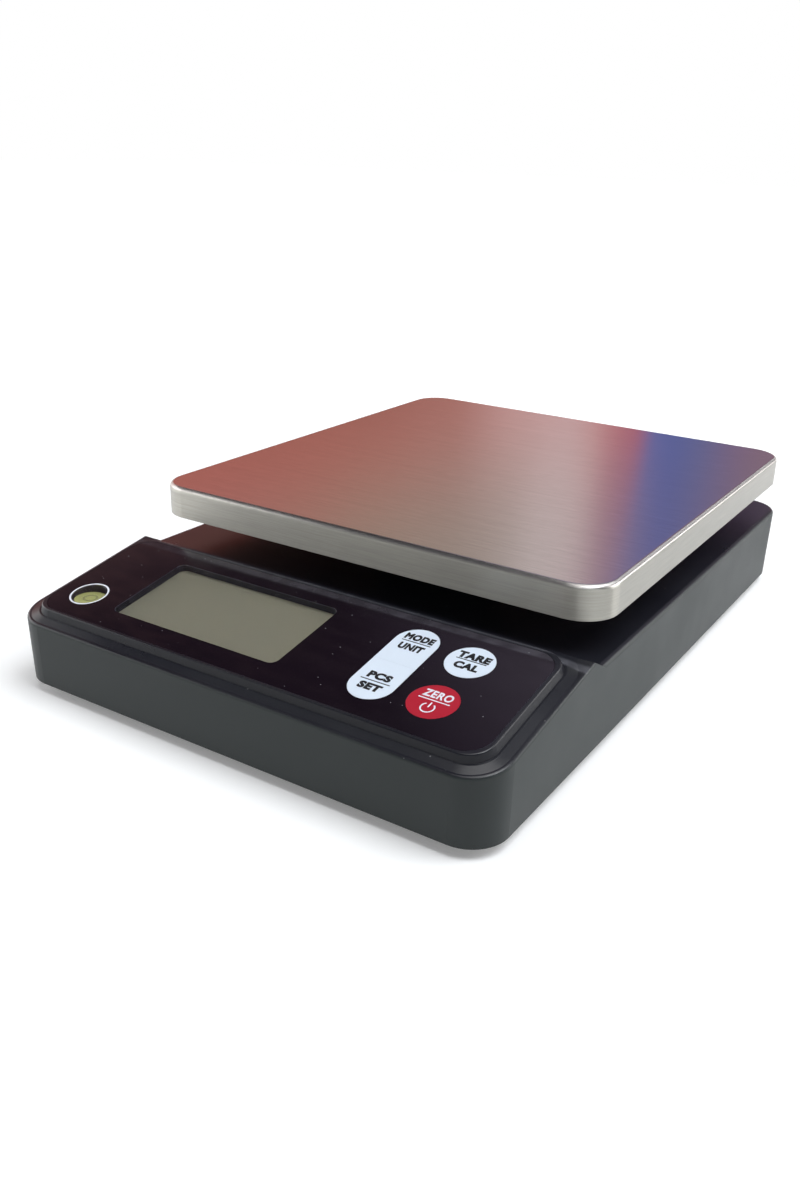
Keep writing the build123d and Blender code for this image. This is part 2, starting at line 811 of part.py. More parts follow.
    # counterbored holes of the load cell's screws
    with BuildSketch(Plane.XY.offset(lower_plate_bottom)):
        with Locations([(0, y) for y in cell_screw_y]):
            Circle(4.0)
    extrude(amount=2.6, mode=Mode.SUBTRACT)
    with BuildSketch(Plane.XY.offset(lower_plate_bottom)):
        with Locations([(0, y) for y in cell_screw_y]):
            Circle(cell_screw_clearance)
    extrude(amount=cell_bottom, mode=Mode.SUBTRACT)
    # hole of the overload stop
    with BuildSketch(Plane.XY.offset(lower_plate_bottom)):
        with Locations((0, stop_screw_y)):
            Circle(stop_screw_radius + 0.05)
    extrude(amount=6, mode=Mode.SUBTRACT)
    # shallow blank recess of the rating label
    with BuildSketch(Plane.XY.offset(lower_plate_bottom)):
        with Locations(rating_label_place):
            RectangleRounded(rating_label_width, rating_label_depth, 2)
    extrude(amount=rating_label_recess, mode=Mode.SUBTRACT)
save(lower_housing.part, "lower_housing")

housing_screws = [
    screw(upward(x, y, screw_seat), 2.9, 2.0, 1.4, 12.5) for x, y in housing_screw_places
]
save(grouped(housing_screws), "housing_screws")

# ================================================================ battery bay
battery_length = 49.5
nub_length = 1.0
contact_thickness = 0.5
spring_length = bay_right - bay_left - 2 * contact_thickness - battery_length - nub_length
battery_z = lower_plate_top + 0.65 + battery_radius
battery_y = [bay_front + battery_pitch * (i + 0.5) for i in range(battery_count)]
left_contact = bay_left + contact_thickness
right_contact = bay_right - contact_thickness


def along_x(x, y, direction):
    """A plane at the battery axis whose normal points along +X or -X."""
    return Plane(origin=(x, y, battery_z), x_dir=(0, 1, 0), z_dir=(direction, 0, 0))


def battery(y, direction):
    """One cell, its positive nub pointing along direction; the flat end rests on the spring."""
    start = left_contact if direction > 0 else right_contact
    base = along_x(start + direction * spring_length, y, direction)
    with BuildPart() as cell:
        with BuildSketch(base):
            Circle(battery_radius)
        extrude(amount=battery_length)
        fillet(cell.edges().filter_by(GeomType.CIRCLE), 0.5)
        with BuildSketch(base.offset(battery_length)):
            Circle(2.7)
        extrude(amount=nub_length)
    return cell.part


def contact_spring(y, direction):
    """The coil that presses on a cell's flat end."""
    start = left_contact if direction > 0 else right_contact
    wire = 0.35
    with BuildPart() as coil:
        with BuildLine():
            path = Helix(
                pitch=1.6,
                height=spring_length - 2 * wire,
                radius=2.8,
                center=(start + direction * wire, y, battery_z),
                direction=(direction, 0, 0),
            )
        with BuildSketch(Plane(origin=path @ 0, z_dir=path % 0)):
            Circle(wire)
        sweep(path=path, is_frenet=True)
    return coil.part


directions = [1 if i % 2 == 0 else -1 for i in range(battery_count)]
save(grouped([battery(y, d) for y, d in zip(battery_y, directions)]), "batteries")
save(grouped([contact_spring(y, d) for y, d in zip(battery_y, directions)]), "battery_springs")


def contact_plate(x, first, last):
    """A sheet contact against one end wall, across the cells from first to last."""
    with BuildPart() as plate:
        with BuildSketch(Plane.YZ.offset(x)):
            with Locations(((battery_y[first] + battery_y[last]) / 2, battery_z)):
                RectangleRounded(battery_y[last] - battery_y[first] + 13, 12, 1.5)
        extrude(amount=contact_thickness)
    return plate.part


contact_plates = [
    contact_plate(bay_left, 0, 0),
    contact_plate(bay_left, 1, 2),
    contact_plate(bay_left, 3, 3),
    contact_plate(right_contact, 0, 1),
    contact_plate(right_contact, 2, 3),
]
save(grouped(contact_plates), "battery_plates")

door_thickness = 1.6
hook_root = 1.4  # the hooks start this far inside the door's rear edge
hook_reach = 2.2
hook_thickness = 1.2
door_top = door_bottom + door_thickness
door_front = pocket_front + door_gap
door_rear = pocket_rear - door_gap
hook_bottom = lower_plate_top + 0.3
with BuildPart() as battery_door:
    with BuildSketch(Plane.XY.offset(door_bottom)):
        with Locations(((pocket_left + pocket_right) / 2, (door_front + door_rear) / 2)):
            RectangleRounded(
                pocket_right - pocket_left - 2 * door_gap,
                door_rear - door_front,
                0.8,
            )
    extrude(amount=door_thickness)
    # two hooks reach through the bay's rear wall, over the plate
    for tab_x in hinge_tab_x:
        with BuildSketch(Plane.YZ.offset(tab_x - hinge_tab_width / 2)):
            with BuildLine():
                Polyline(
                    (door_rear - hook_root, door_top - 0.5),
                    (door_rear, door_top - 0.5),
                    (door_rear, hook_bottom),
                    (door_rear + hook_reach, hook_bottom),
                    (door_rear + hook_reach, hook_bottom + hook_thickness),
                    (door_rear - hook_root, hook_bottom + hook_thickness),
                    close=True,
                )
            make_face()
    extrude(amount=hinge_tab_width)
    # grip ridges at the front edge
    with BuildSketch(Plane.XY.offset(door_bottom)):
        for ridge in range(4):
            with Locations(((bay_left + bay_right) / 2, door_front + 4 + 2.0 * ridge)):
                SlotOverall(16, 0.9)
    extrude(amount=0.4, mode=Mode.SUBTRACT)
save(battery_door.part, "battery_door")

# ================================================================ load cell
waist_radius = 4.2
waist_reach = 9.0
with BuildPart() as load_cell:
    with BuildSketch(Plane.XY.offset(cell_bottom)):
        with Locations((0, pan_y)):
            Rectangle(cell_width, cell_length)
    extrude(amount=cell_top - cell_bottom)
    fillet(load_cell.edges().filter_by(Axis.Y), 0.5)
    # the double-hole waist that bends
    with BuildSketch(Plane.YZ):
        with Locations((pan_y, (cell_bottom + cell_top) / 2)):
            with Locations((-waist_reach, 0), (waist_reach, 0)):
                Circle(waist_radius)
            Rectangle(2 * waist_reach, 4.0)
    extrude(amount=cell_width, both=True, mode=Mode.SUBTRACT)
    # threaded holes: from below at the fixed end, from above at the free end
    with BuildSketch(Plane.XY.offset(cell_bottom)):
        with Locations([(0, y) for y in cell_screw_y]):
            Circle(cell_thread_radius)
    extrude(amount=cell_thread_depth, mode=Mode.SUBTRACT)
    with BuildSketch(Plane.XY.offset(cell_top)):
        with Locations([(0, y) for y in hub_screw_y]):
            Circle(cell_thread_radius)
    extrude(amount=-cell_thread_depth, mode=Mode.SUBTRACT)
save(load_cell.part, "load_cell")

gauge_thickness = 0.8
gauge_width = 18.0
gauge_length = 30.0
gauge_corner = 3.0
with BuildPart() as gauge_covers:
    with BuildSketch(Plane.XY.offset(cell_top)):
        with Locations((0, pan_y)):
            RectangleRounded(gauge_width, gauge_length, gauge_corner)
    extrude(amount=gauge_thickness)
    with BuildSketch(Plane.XY.offset(cell_bottom - gauge_thickness)):
        with Locations((0, pan_y)):
            RectangleRounded(gauge_width, gauge_length, gauge_corner)
    extrude(amount=gauge_thickness)
save(gauge_covers.part, "gauge_covers")

with BuildPart() as load_cell_plate:
    with BuildSketch(Plane.XY.offset(cell_bottom - plate_thickness)):
        with Locations((0, (cell_screw_y[0] + cell_screw_y[1]) / 2)):
            Rectangle(cell_width, 22)
        with Locations([(0, y) for y in cell_screw_y]):
            Circle(cell_screw_clearance, mode=Mode.SUBTRACT)
    extrude(amount=plate_thickness)
save(load_cell_plate.part, "load_cell_plate")

load_cell_screws = [screw(upward(0, y, screw_seat), 3.6, 2.2, 2.0, 12.0) for y in cell_screw_y]
save(grouped(load_cell_screws), "load_cell_screws")

with BuildPart() as support_spacer:
    with BuildSketch(Plane.XY.offset(cell_top)):
        with Locations((0, hub_y)):
            Rectangle(cell_width, 21)
        with Locations([(0, y) for y in hub_screw_y]):
            Circle(cell_screw_clearance, mode=Mode.SUBTRACT)
    extrude(amount=plate_thickness)
save(support_spacer.part, "support_spacer")

with BuildPart() as overload_stop_screw:
    with BuildSketch(Plane.XY.offset(lower_plate_bottom + stop_screw_gap)):
        with Locations((0, stop_screw_y)):
            Circle(stop_screw_radius)
    extrude(amount=cell_bottom - lower_plate_bottom - 2 * stop_screw_gap)
    with BuildSketch(Plane.XY.offset(lower_plate_bottom + stop_screw_gap)):
        with Locations((0, stop_screw_y)):
            RegularPolygon(radius=1.4, side_count=6)
    extrude(amount=2, mode=Mode.SUBTRACT)
save(overload_stop_screw.part, "overload_stop_screw")

# ================================================================ pan support
support_width = 172.4
support_depth = 183.6
support_top = 52.0
support_plate = 2.5
support_rim_bottom = 45.0
support_rim = 2.5  # wall of the tray's rim
support_corner = 11.0
support_rib = 2.4
hub_wall = 3.0
pad_radius = 6.0
pad_sink = 1.0
pan_under = pan_top - pan_sheet
support_pad_places = [(x, pan_y + y) for x in (-74.0, 74.0) for y in (-79.5, 79.5)]

with BuildPart() as pan_support:
    with BuildSketch(Plane.XY.offset(support_rim_bottom)):
        with Locations((0, pan_y)):
            RectangleRounded(support_width, support_depth, support_corner)
    extrude(amount=support_top - support_rim_bottom)
    with BuildSketch(Plane.XY.offset(support_rim_bottom)):
        with Locations((0, pan_y)):
            RectangleRounded(
                support_width - 2 * support_rim,
                support_depth - 2 * support_rim,
                support_corner - support_rim,
            )
    extrude(amount=support_top - support_plate - support_rim_bottom, mode=Mode.SUBTRACT)
    # ribs under the tray
    with BuildSketch(Plane.XY.offset(support_rim_bottom)):
        for rib_x in (-56, -hub_width / 2 + 1.5, hub_width / 2 - 1.5, 56):
            with Locations((rib_x, pan_y)):
                Rectangle(support_rib, support_depth - 4)
        for rib_y in (-62, -22, 18, 58):
            with Locations((0, pan_y + rib_y)):
                Rectangle(support_width - 4, support_rib)
    extrude(amount=support_top - support_plate - support_rim_bottom)
    # the hub, open at the top for its screws
    with BuildSketch(Plane.XY.offset(hub_bottom)):
        with Locations((0, hub_y)):
            RectangleRounded(hub_width, hub_depth, 3)
    extrude(amount=support_top - hub_bottom)
    with BuildSketch(Plane.XY.offset(hub_bottom + hub_floor)):
        with Locations((0, hub_y)):
            RectangleRounded(hub_width - 2 * hub_wall, hub_depth - 2 * hub_wall, 2)
    extrude(amount=support_top, mode=Mode.SUBTRACT)
    with BuildSketch(Plane.XY.offset(hub_bottom)):
        with Locations([(0, y) for y in hub_screw_y]):
            Circle(cell_screw_clearance)
    extrude(amount=hub_floor, mode=Mode.SUBTRACT)
    # seats of the rubber pads
    with BuildSketch(Plane.XY.offset(support_top)):
        with Locations(support_pad_places):
            Circle(pad_radius)
    extrude(amount=-pad_sink, mode=Mode.SUBTRACT)
save(pan_support.part, "pan_support")

hub_screws = [
    screw(downward(0, y, hub_bottom + hub_floor + 2.4), 3.6, 2.4, 2.0, 14.0) for y in hub_screw_y
]
save(grouped(hub_screws), "pan_support_screws")

with BuildPart() as support_pads:
    with BuildSketch(Plane.XY.offset(support_top - pad_sink)):
        with Locations(support_pad_places):
            Circle(pad_radius)
    extrude(amount=pan_under - support_top + pad_sink)
save(support_pads.part, "support_pads")

# ================================================================ weighing pan
pan_edge_radius = 1.75  # where the sheet is folded down

with BuildPart() as weighing_pan:
    with BuildSketch(Plane.XY.offset(pan_top - pan_skirt)):
        with Locations((0, pan_y)):
            RectangleRounded(pan_width, pan_depth, corner_radius)
    extrude(amount=pan_skirt)
    fillet(weighing_pan.edges().group_by(Axis.Z)[-1], pan_edge_radius)
    offset(
        amount=-pan_sheet,
        openings=weighing_pan.faces().sort_by(Axis.Z)[0],
    )
save(weighing_pan.part, "weighing_pan")

# ================================================================ levelling feet
pad_height = 2.6
foot_pad_radius = 10.0
spigot_radius = 4.0
spigot_bottom = 0.9
wheel_radius = 11.0
wheel_bottom = pad_height + 0.3
wheel_top = foot_well_top - 0.3
# with its foot all the way down, the stud still fills most of its insert
stud_top = foot_boss_top + levelling_travel - 1.0
turning_gap = 0.06  # round the spigot and the stud
knurls = 20
knurl_radius = 0.7


def foot_pad(x, y):
    """The rubber pad on the table, with the blind bore in which the foot's screw turns."""
    with BuildPart() as pad:
        with BuildSketch(upward(x, y, 0)):
            Circle(foot_pad_radius)
        extrude(amount=pad_height)
        fillet(pad.edges().group_by(Axis.Z)[0], 0.4)
        with BuildSketch(upward(x, y, spigot_bottom - 0.1)):
            Circle(spigot_radius + turning_gap)
        extrude(amount=pad_height, mode=Mode.SUBTRACT)
    return pad.part


def foot_screw(x, y):
    """Knurled hand wheel with a threaded stud above it and a round spigot below."""
    with BuildPart() as wheel:
        with BuildSketch(upward(x, y, wheel_bottom)):
            Circle(wheel_radius)
            with PolarLocations(wheel_radius, knurls):
                Circle(knurl_radius, mode=Mode.SUBTRACT)
        extrude(amount=wheel_top - wheel_bottom)
        with BuildSketch(upward(x, y, spigot_bottom)):
            Circle(spigot_radius)
        extrude(amount=wheel_bottom - spigot_bottom)
        with BuildSketch(upward(x, y, wheel_top)):
            Circle(stud_radius)
        extrude(amount=stud_top - wheel_top)
        chamfer(wheel.edges().group_by(Axis.Z)[-1], 0.6)
    return wheel.part


def foot_insert(x, y):
    """The brass insert that carries a foot's stud."""
    with BuildPart() as insert:
        with BuildSketch(upward(x, y, insert_bottom)):
            Circle(insert_radius)
            Circle(stud_radius + turning_gap, mode=Mode.SUBTRACT)
        extrude(amount=foot_boss_top - insert_bottom)
    return insert.part


for number, (place_x, place_y) in enumerate(foot_places, start=1):
    save(foot_pad(place_x, place_y), f"foot_pad_{number}")
    save(foot_screw(place_x, place_y), f"foot_screw_{number}")
save(grouped([foot_insert(x, y) for x, y in foot_places]), "foot_inserts")


# ================================================================ wiring inside the housing
def wire(points, wire_radius):
    """A wire along straight runs joined by arcs as large as the runs allow."""
    radii = []
    for before, here, after in zip(points, points[1:], points[2:]):
        run_in = Vector(*here) - Vector(*before)
        run_out = Vector(*after) - Vector(*here)
        turn = radians(run_in.get_angle(run_out))
        radii.append(0.45 * min(run_in.length, run_out.length) / tan(turn / 2))
    with BuildPart() as tube:
        with BuildLine():
            path = FilletPolyline(*points, radius=radii)
        with BuildSketch(Plane(origin=path @ 0, z_dir=path % 0)):
            Circle(wire_radius)
        sweep(path=path)
    print("wire radii", [round(r, 1) for r in radii], "length", round(path.length, 1))
    print("  volume over section times length", tube.part.volume / (pi * wire_radius**2 * path.length))
    return tube.part


def socket_entry(x, height, back=0.0):
    """A point on the rear faces of the board's sockets, that far below the board, or back behind it."""
    along = socket_places[0][1] + socket_length / 2 + back
    y, z = panel_yz(along, board_bottom - height)
    return (x, y, z)


cable_x = socket_places[1][0]
cell_cable = [
    (cell_width / 2, pan_y - 24, 17.0),
    (20.0, pan_y - 24, 17.0),
    (27.0, pan_y - 38, 17.3),
    (29.0, -25.0, 17.6),
    (31.0, -44.0, 18.6),
    socket_entry(cable_x, 2.5, 13),
    socket_entry(cable_x, 2.5),
]
save(wire(cell_cable, 1.5), "load_cell_cable")

bay_roof = bay_top + bay_wall
for lead_name, lead_x, lead_start in (("red", -52.0, -62.0), ("black", -48.0, -56.0)):
    battery_lead = [
        (lead_start, -26.0, bay_roof),
        (lead_start, -26.0, bay_roof + 3.4),
        (lead_start + 1, -35.0, bay_roof + 3.8),
        (lead_x - 2, -50.0, bay_roof + 2.6),
        socket_entry(lead_x, 3.5, 12),
        socket_entry(lead_x, 3.5),
    ]
    save(wire(battery_lead, 0.7), f"battery_lead_{lead_name}")
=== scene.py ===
"""Looks of the counting scale: finishes, printed legends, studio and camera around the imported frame."""
import json
import math

import bmesh
import bpy
from mathutils import Matrix, Vector


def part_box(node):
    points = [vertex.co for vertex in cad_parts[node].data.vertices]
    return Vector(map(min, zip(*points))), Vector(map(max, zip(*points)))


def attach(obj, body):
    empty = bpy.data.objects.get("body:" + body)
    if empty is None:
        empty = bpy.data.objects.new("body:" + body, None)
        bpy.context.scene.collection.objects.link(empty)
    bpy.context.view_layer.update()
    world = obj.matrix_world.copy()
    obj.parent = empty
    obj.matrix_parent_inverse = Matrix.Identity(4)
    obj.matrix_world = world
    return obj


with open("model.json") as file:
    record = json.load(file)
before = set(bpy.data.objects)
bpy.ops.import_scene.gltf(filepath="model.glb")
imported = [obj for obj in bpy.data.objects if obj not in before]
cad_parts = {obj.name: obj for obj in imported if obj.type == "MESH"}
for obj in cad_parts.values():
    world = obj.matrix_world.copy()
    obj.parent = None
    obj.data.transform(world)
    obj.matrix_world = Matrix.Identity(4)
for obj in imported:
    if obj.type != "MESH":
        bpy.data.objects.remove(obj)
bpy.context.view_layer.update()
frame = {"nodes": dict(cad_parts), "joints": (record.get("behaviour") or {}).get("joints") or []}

MM = 0.001
nodes = frame["nodes"]
joints = {joint["name"]: joint for joint in frame["joints"]}
scene = bpy.context.scene


def srgb(red, green, blue):
    """A colour given as 0 to 255 on the screen, as the linear RGBA that shaders take."""
    linear = []
    for value in (red, green, blue):
        share = value / 255
        linear.append(share / 12.92 if share <= 0.04045 else ((share + 0.055) / 1.055) ** 2.4)
    return (*linear, 1.0)


# ---------------------------------------------------------------- material recipes
class Recipe:
    """One material: a Principled shader, with short calls for the nodes that feed it."""

    def __init__(self, name, color, roughness, metallic=0.0):
        self.material = bpy.data.materials.new(name)
        self.material.use_nodes = True
        self.nodes = self.material.node_tree.nodes
        self.links = self.material.node_tree.links
        self.shader = self.nodes["Principled BSDF"]
        self.place = self.nodes.new("ShaderNodeTexCoord").outputs["Object"]
        self.constant("Base Color", color)
        self.constant("Roughness", roughness)
        self.constant("Metallic", metallic)

    def constant(self, socket, value):
        """Sets one of the shader's sockets to the same value everywhere."""
        self.shader.inputs[socket].default_value = value

    def feed(self, socket, source):
        """Lets a node's output drive one of the shader's sockets."""
        self.links.new(source, self.shader.inputs[socket])

    def plug(self, socket, value):
        """Puts a node's output or a plain value into another node's input."""
        if isinstance(value, bpy.types.NodeSocket):
            self.links.new(value, socket)
        else:
            socket.default_value = value

    def stretched(self, sizes):
        """The object's own coordinates, counted in pattern sizes given in millimetres."""
        mapping = self.nodes.new("ShaderNodeMapping")
        mapping.vector_type = "POINT"
        mapping.inputs["Scale"].default_value = [1 / (size * MM) for size in sizes]
        self.links.new(self.place, mapping.inputs["Vector"])
        return mapping.outputs["Vector"]

    def noise(self, size, detail=2.0, harshness=0.5):
        """Cloudy noise from 0 to 1; size is in millimetres, one number or one for each axis."""
        sizes = size if isinstance(size, tuple) else (size, size, size)
        texture = self.nodes.new("ShaderNodeTexNoise")
        texture.inputs["Scale"].default_value = 1.0
        texture.inputs["Detail"].default_value = detail
        texture.inputs["Roughness"].default_value = harshness
        self.links.new(self.stretched(sizes), texture.inputs["Vector"])
        return texture.outputs["Fac"]

    def cells(self, size, randomness=1.0, feature="F1"):
        """Distance to scattered points, in cells of that many millimetres."""
        texture = self.nodes.new("ShaderNodeTexVoronoi")
        texture.feature = feature
        texture.inputs["Scale"].default_value = 1.0
        texture.inputs["Randomness"].default_value = randomness
        self.links.new(self.stretched((size, size, size)), texture.inputs["Vector"])
        return texture.outputs["Distance"]

    def axis(self, letter):
        """One coordinate of the object, in metres."""
        split = self.nodes.new("ShaderNodeSeparateXYZ")
        self.links.new(self.place, split.inputs["Vector"])
        return split.outputs[letter]

    def facing(self, letter):
        """How far the surface faces along one axis of the object."""
        normal = self.nodes.new("ShaderNodeTexCoord").outputs["Normal"]
        split = self.nodes.new("ShaderNodeSeparateXYZ")
        self.links.new(normal, split.inputs["Vector"])
        return split.outputs[letter]

    def ramp(self, value, low, high, first=0.0, last=1.0):
        """The value's way from low to high, as a number from first to last, softened at both ends."""
        node = self.nodes.new("ShaderNodeMapRange")
        node.interpolation_type = "SMOOTHSTEP"
        node.clamp = True
        self.plug(node.inputs["Value"], value)
        node.inputs["From Min"].default_value = low
        node.inputs["From Max"].default_value = high
        node.inputs["To Min"].default_value = first
        node.inputs["To Max"].default_value = last
        return node.outputs["Result"]

    def math(self, operation, first, second=0.0):
        """Arithmetic on one or two numbers."""
        node = self.nodes.new("ShaderNodeMath")
        node.operation = operation
        self.plug(node.inputs[0], first)
        self.plug(node.inputs[1], second)
        return node.outputs["Value"]

    def mix(self, factor, first, second):
        """A colour between first and second."""
        node = self.nodes.new("ShaderNodeMix")
        node.data_type = "RGBA"
        color_a, color_b = [socket for socket in node.inputs if socket.type == "RGBA"]
        self.plug(node.inputs["Factor"], factor)
        self.plug(color_a, first)
        self.plug(color_b, second)
        return [socket for socket in node.outputs if socket.type == "RGBA"][0]

    def bump(self, height, depth, under=None):
        """Relief of that depth in millimetres, laid over any relief given as under."""
        node = self.nodes.new("ShaderNodeBump")
        node.inputs["Distance"].default_value = depth * MM
        self.plug(node.inputs["Height"], height)
        if under is not None:
            self.links.new(under, node.inputs["Normal"])
        return node.outputs["Normal"]


def moulded(name, color, roughness, grain=0.3, depth=0.01, variation=0.12):
    """Moulded plastic: spark-eroded grain and slow, faint changes of tone and gloss."""
    recipe = Recipe(name, color, roughness)
    slow = recipe.noise(28.0, 3.0)
    lighter = tuple(min(1.0, value * (1 + 2 * variation)) for value in color[:3]) + (1.0,)
    recipe.feed("Base Color", recipe.mix(slow, color, lighter))
    uneven = recipe.math("MULTIPLY", slow, 0.12)
    recipe.feed("Roughness", recipe.math("ADD", uneven, roughness))
    recipe.feed("Normal", recipe.bump(recipe.noise(grain, 2.0, 0.6), depth))
    return recipe


def bare_metal(name, color, roughness, grain=(0.25, 0.25, 0.25), depth=0.004):
    """Machined or plated metal with fine tool marks."""
    recipe = Recipe(name, color, roughness, metallic=1.0)
    marks = recipe.noise(grain, 3.0, 0.6)
    darker = tuple(0.8 * value for value in color[:3]) + (1.0,)
    recipe.feed("Base Color", recipe.mix(marks, darker, color))
    recipe.feed("Roughness", recipe.ramp(marks, 0.25, 0.75, roughness - 0.06, roughness + 0.1))
    recipe.feed("Normal", recipe.bump(marks, depth))
    return recipe


def rubbery(name, color, roughness):
    """Moulded rubber or silicone: matt, with a fine dusty bloom."""
    recipe = moulded(name, color, roughness, grain=0.5, depth=0.02, variation=0.2)
    recipe.constant("Sheen Weight", 0.15)
    recipe.constant("Specular IOR Level", 0.35)
    return recipe


def see_through(name, tint, roughness, ior):
    """Clear plastic or liquid that bends what is behind it and lets the lamps' light through."""
    recipe = Recipe(name, tint, roughness)
    recipe.constant("Transmission Weight", 1.0)
    recipe.constant("IOR", ior)
    haze = recipe.noise(6.0, 2.0)
    recipe.feed("Roughness", recipe.ramp(haze, 0.3, 0.7, roughness, roughness + 0.03))
    path = recipe.nodes.new("ShaderNodeLightPath")
    open_way = recipe.nodes.new("ShaderNodeBsdfTransparent")
    open_way.inputs["Color"].default_value = tint
    either = recipe.nodes.new("ShaderNodeMixShader")
    output = recipe.nodes["Material Output"]
    recipe.links.new(path.outputs["Is Shadow Ray"], either.inputs["Fac"])
    recipe.links.new(recipe.shader.outputs["BSDF"], either.inputs[1])
    recipe.links.new(open_way.outputs["BSDF"], either.inputs[2])
    recipe.links.new(either.outputs["Shader"], output.inputs["Surface"])
    return recipe


POWDER_FADE = 1.2 * MM  # the powder's front edge fades over this length
POWDER_FULL = 20 * MM  # it has its full weight this far inside the housing's right side
POWDER_BEHIND = 3.0 * MM  # how far it reaches behind the printed film
POWDER_END = 1.5 * MM  # and the length over which it ends there
POWDER_BEFORE = 3.6 * MM  # how far it reaches onto the film
HOUSING_CORNER = 12.4 * MM  # corner radius of the housing, seen from above
WALL_DEPTH = 1.2 * MM  # the walls' look ends this far inside the housing's outline
WALL_FADE = 0.8 * MM  # and the top's look, its gloss and its painted shade, is complete this much further in


def specks(recipe, spacing, radius, share):
    """Scattered dust: 1 on a speck and 0 elsewhere; a larger share puts specks in more of the cells."""
    near = recipe.ramp(recipe.cells(spacing), 0.5 * radius / spacing, radius / spacing, 1.0, 0.0)
    chosen = recipe.ramp(recipe.noise(2.2 * spacing, 1.0), 1 - share, 1.02 - share)
    return recipe.math("MULTIPLY", near, chosen)


def powder(recipe, start):
    """Dust that gathers along the panel's rear edge, from start on, heavier towards the right."""
    low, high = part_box("upper_housing")
    behind = recipe.ramp(recipe.axis("Y"), start, start + POWDER_FADE)
    cloudy = recipe.ramp(recipe.noise(6.0, 3.0), 0.3, 0.7, 0.45, 1.0)
    heavier = recipe.ramp(recipe.axis("X"), low.x, high.x - POWDER_FULL, 0.35, 1.0)
    return recipe.math("MULTIPLY", recipe.math("MULTIPLY", cloudy, heavier), behind)


def outline_distance(recipe, name, corner):
    """How far a point lies outside a piece's rounded plan outline, in metres; inside it is negative."""
    low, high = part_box(name)
    past = []
    for index, letter in enumerate("XY"):
        middle = (low[index] + high[index]) / 2
        straight = (high[index] - low[index]) / 2 - corner
        away = recipe.math("ABSOLUTE", recipe.math("SUBTRACT", recipe.axis(letter), middle))
        past.append(recipe.math("SUBTRACT", away, straight))
    inner = recipe.math("MINIMUM", recipe.math("MAXIMUM", *past), 0.0)
    squares = []
    for value in past:
        outward = recipe.math("MAXIMUM", value, 0.0)
        squares.append(recipe.math("MULTIPLY", outward, outward))
    round_part = recipe.math("SQRT", recipe.math("ADD", *squares))
    return recipe.math("SUBTRACT", recipe.math("ADD", round_part, inner), corner)


def housing_plastic(name):
    """Black ABS: grained matt walls; within them it is smoother and glossier, with a little dust, and
    coloured darker and bluer than the walls as painted shade.
    """
    wall_color, wall_roughness = srgb(41, 46, 46), 0.44
    # top colour: painted shade, darker and bluer than the walls, for the dark room the tops face; the
    # plastic itself is the same
    top_painted_shade_color, top_roughness = srgb(15, 15, 25), 0.3
    worn_color, powder_color, dust_color = srgb(96, 100, 100), srgb(122, 122, 130), srgb(190, 190, 190)
    recipe = Recipe(name, wall_color, wall_roughness)
    upward = recipe.ramp(recipe.facing("Z"), 0.45, 0.88)
    outside = outline_distance(recipe, "upper_housing", HOUSING_CORNER)
    inside = recipe.ramp(outside, -WALL_DEPTH - WALL_FADE, -WALL_DEPTH, 1.0, 0.0)
    gloss_and_painted_shade = recipe.math("MAXIMUM", upward, inside)
    slow = recipe.noise(35.0, 3.0)
    # the mask gives the top its real gloss and also its painted shade colour
    base = recipe.mix(gloss_and_painted_shade, wall_color, top_painted_shade_color)
    toned = recipe.mix(recipe.math("MULTIPLY", slow, 0.1), base, worn_color)
    film_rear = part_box("panel_overlay")[1].y
    powder_rear = film_rear + POWDER_BEHIND
    on_lip = recipe.ramp(recipe.axis("Y"), powder_rear, powder_rear + POWDER_END, 1.0, 0.0)
    settled = recipe.math("MULTIPLY", recipe.math("MULTIPLY", powder(recipe, film_rear), on_lip), upward)
    powdered = recipe.mix(recipe.math("MULTIPLY", settled, 0.4), toned, powder_color)
    dust = recipe.math("MULTIPLY", specks(recipe, 3.4, 0.26, 0.5), upward)
    dusty = recipe.mix(recipe.math("MULTIPLY", dust, 0.4), powdered, dust_color)
    recipe.feed("Base Color", dusty)
    gloss = recipe.ramp(gloss_and_painted_shade, 0.0, 1.0, wall_roughness, top_roughness)
    recipe.feed("Roughness", recipe.math("ADD", gloss, recipe.ramp(slow, 0.3, 0.7, -0.03, 0.04)))
    recipe.feed("Specular IOR Level", recipe.ramp(upward, 0.0, 1.0, 0.24, 0.5))
    grain = recipe.bump(recipe.noise(0.32, 2.0, 0.6), 0.009)
    sink_marks = recipe.noise(55.0, 1.0)
    recipe.feed("Normal", recipe.bump(sink_marks, 0.12, under=grain))
    return recipe


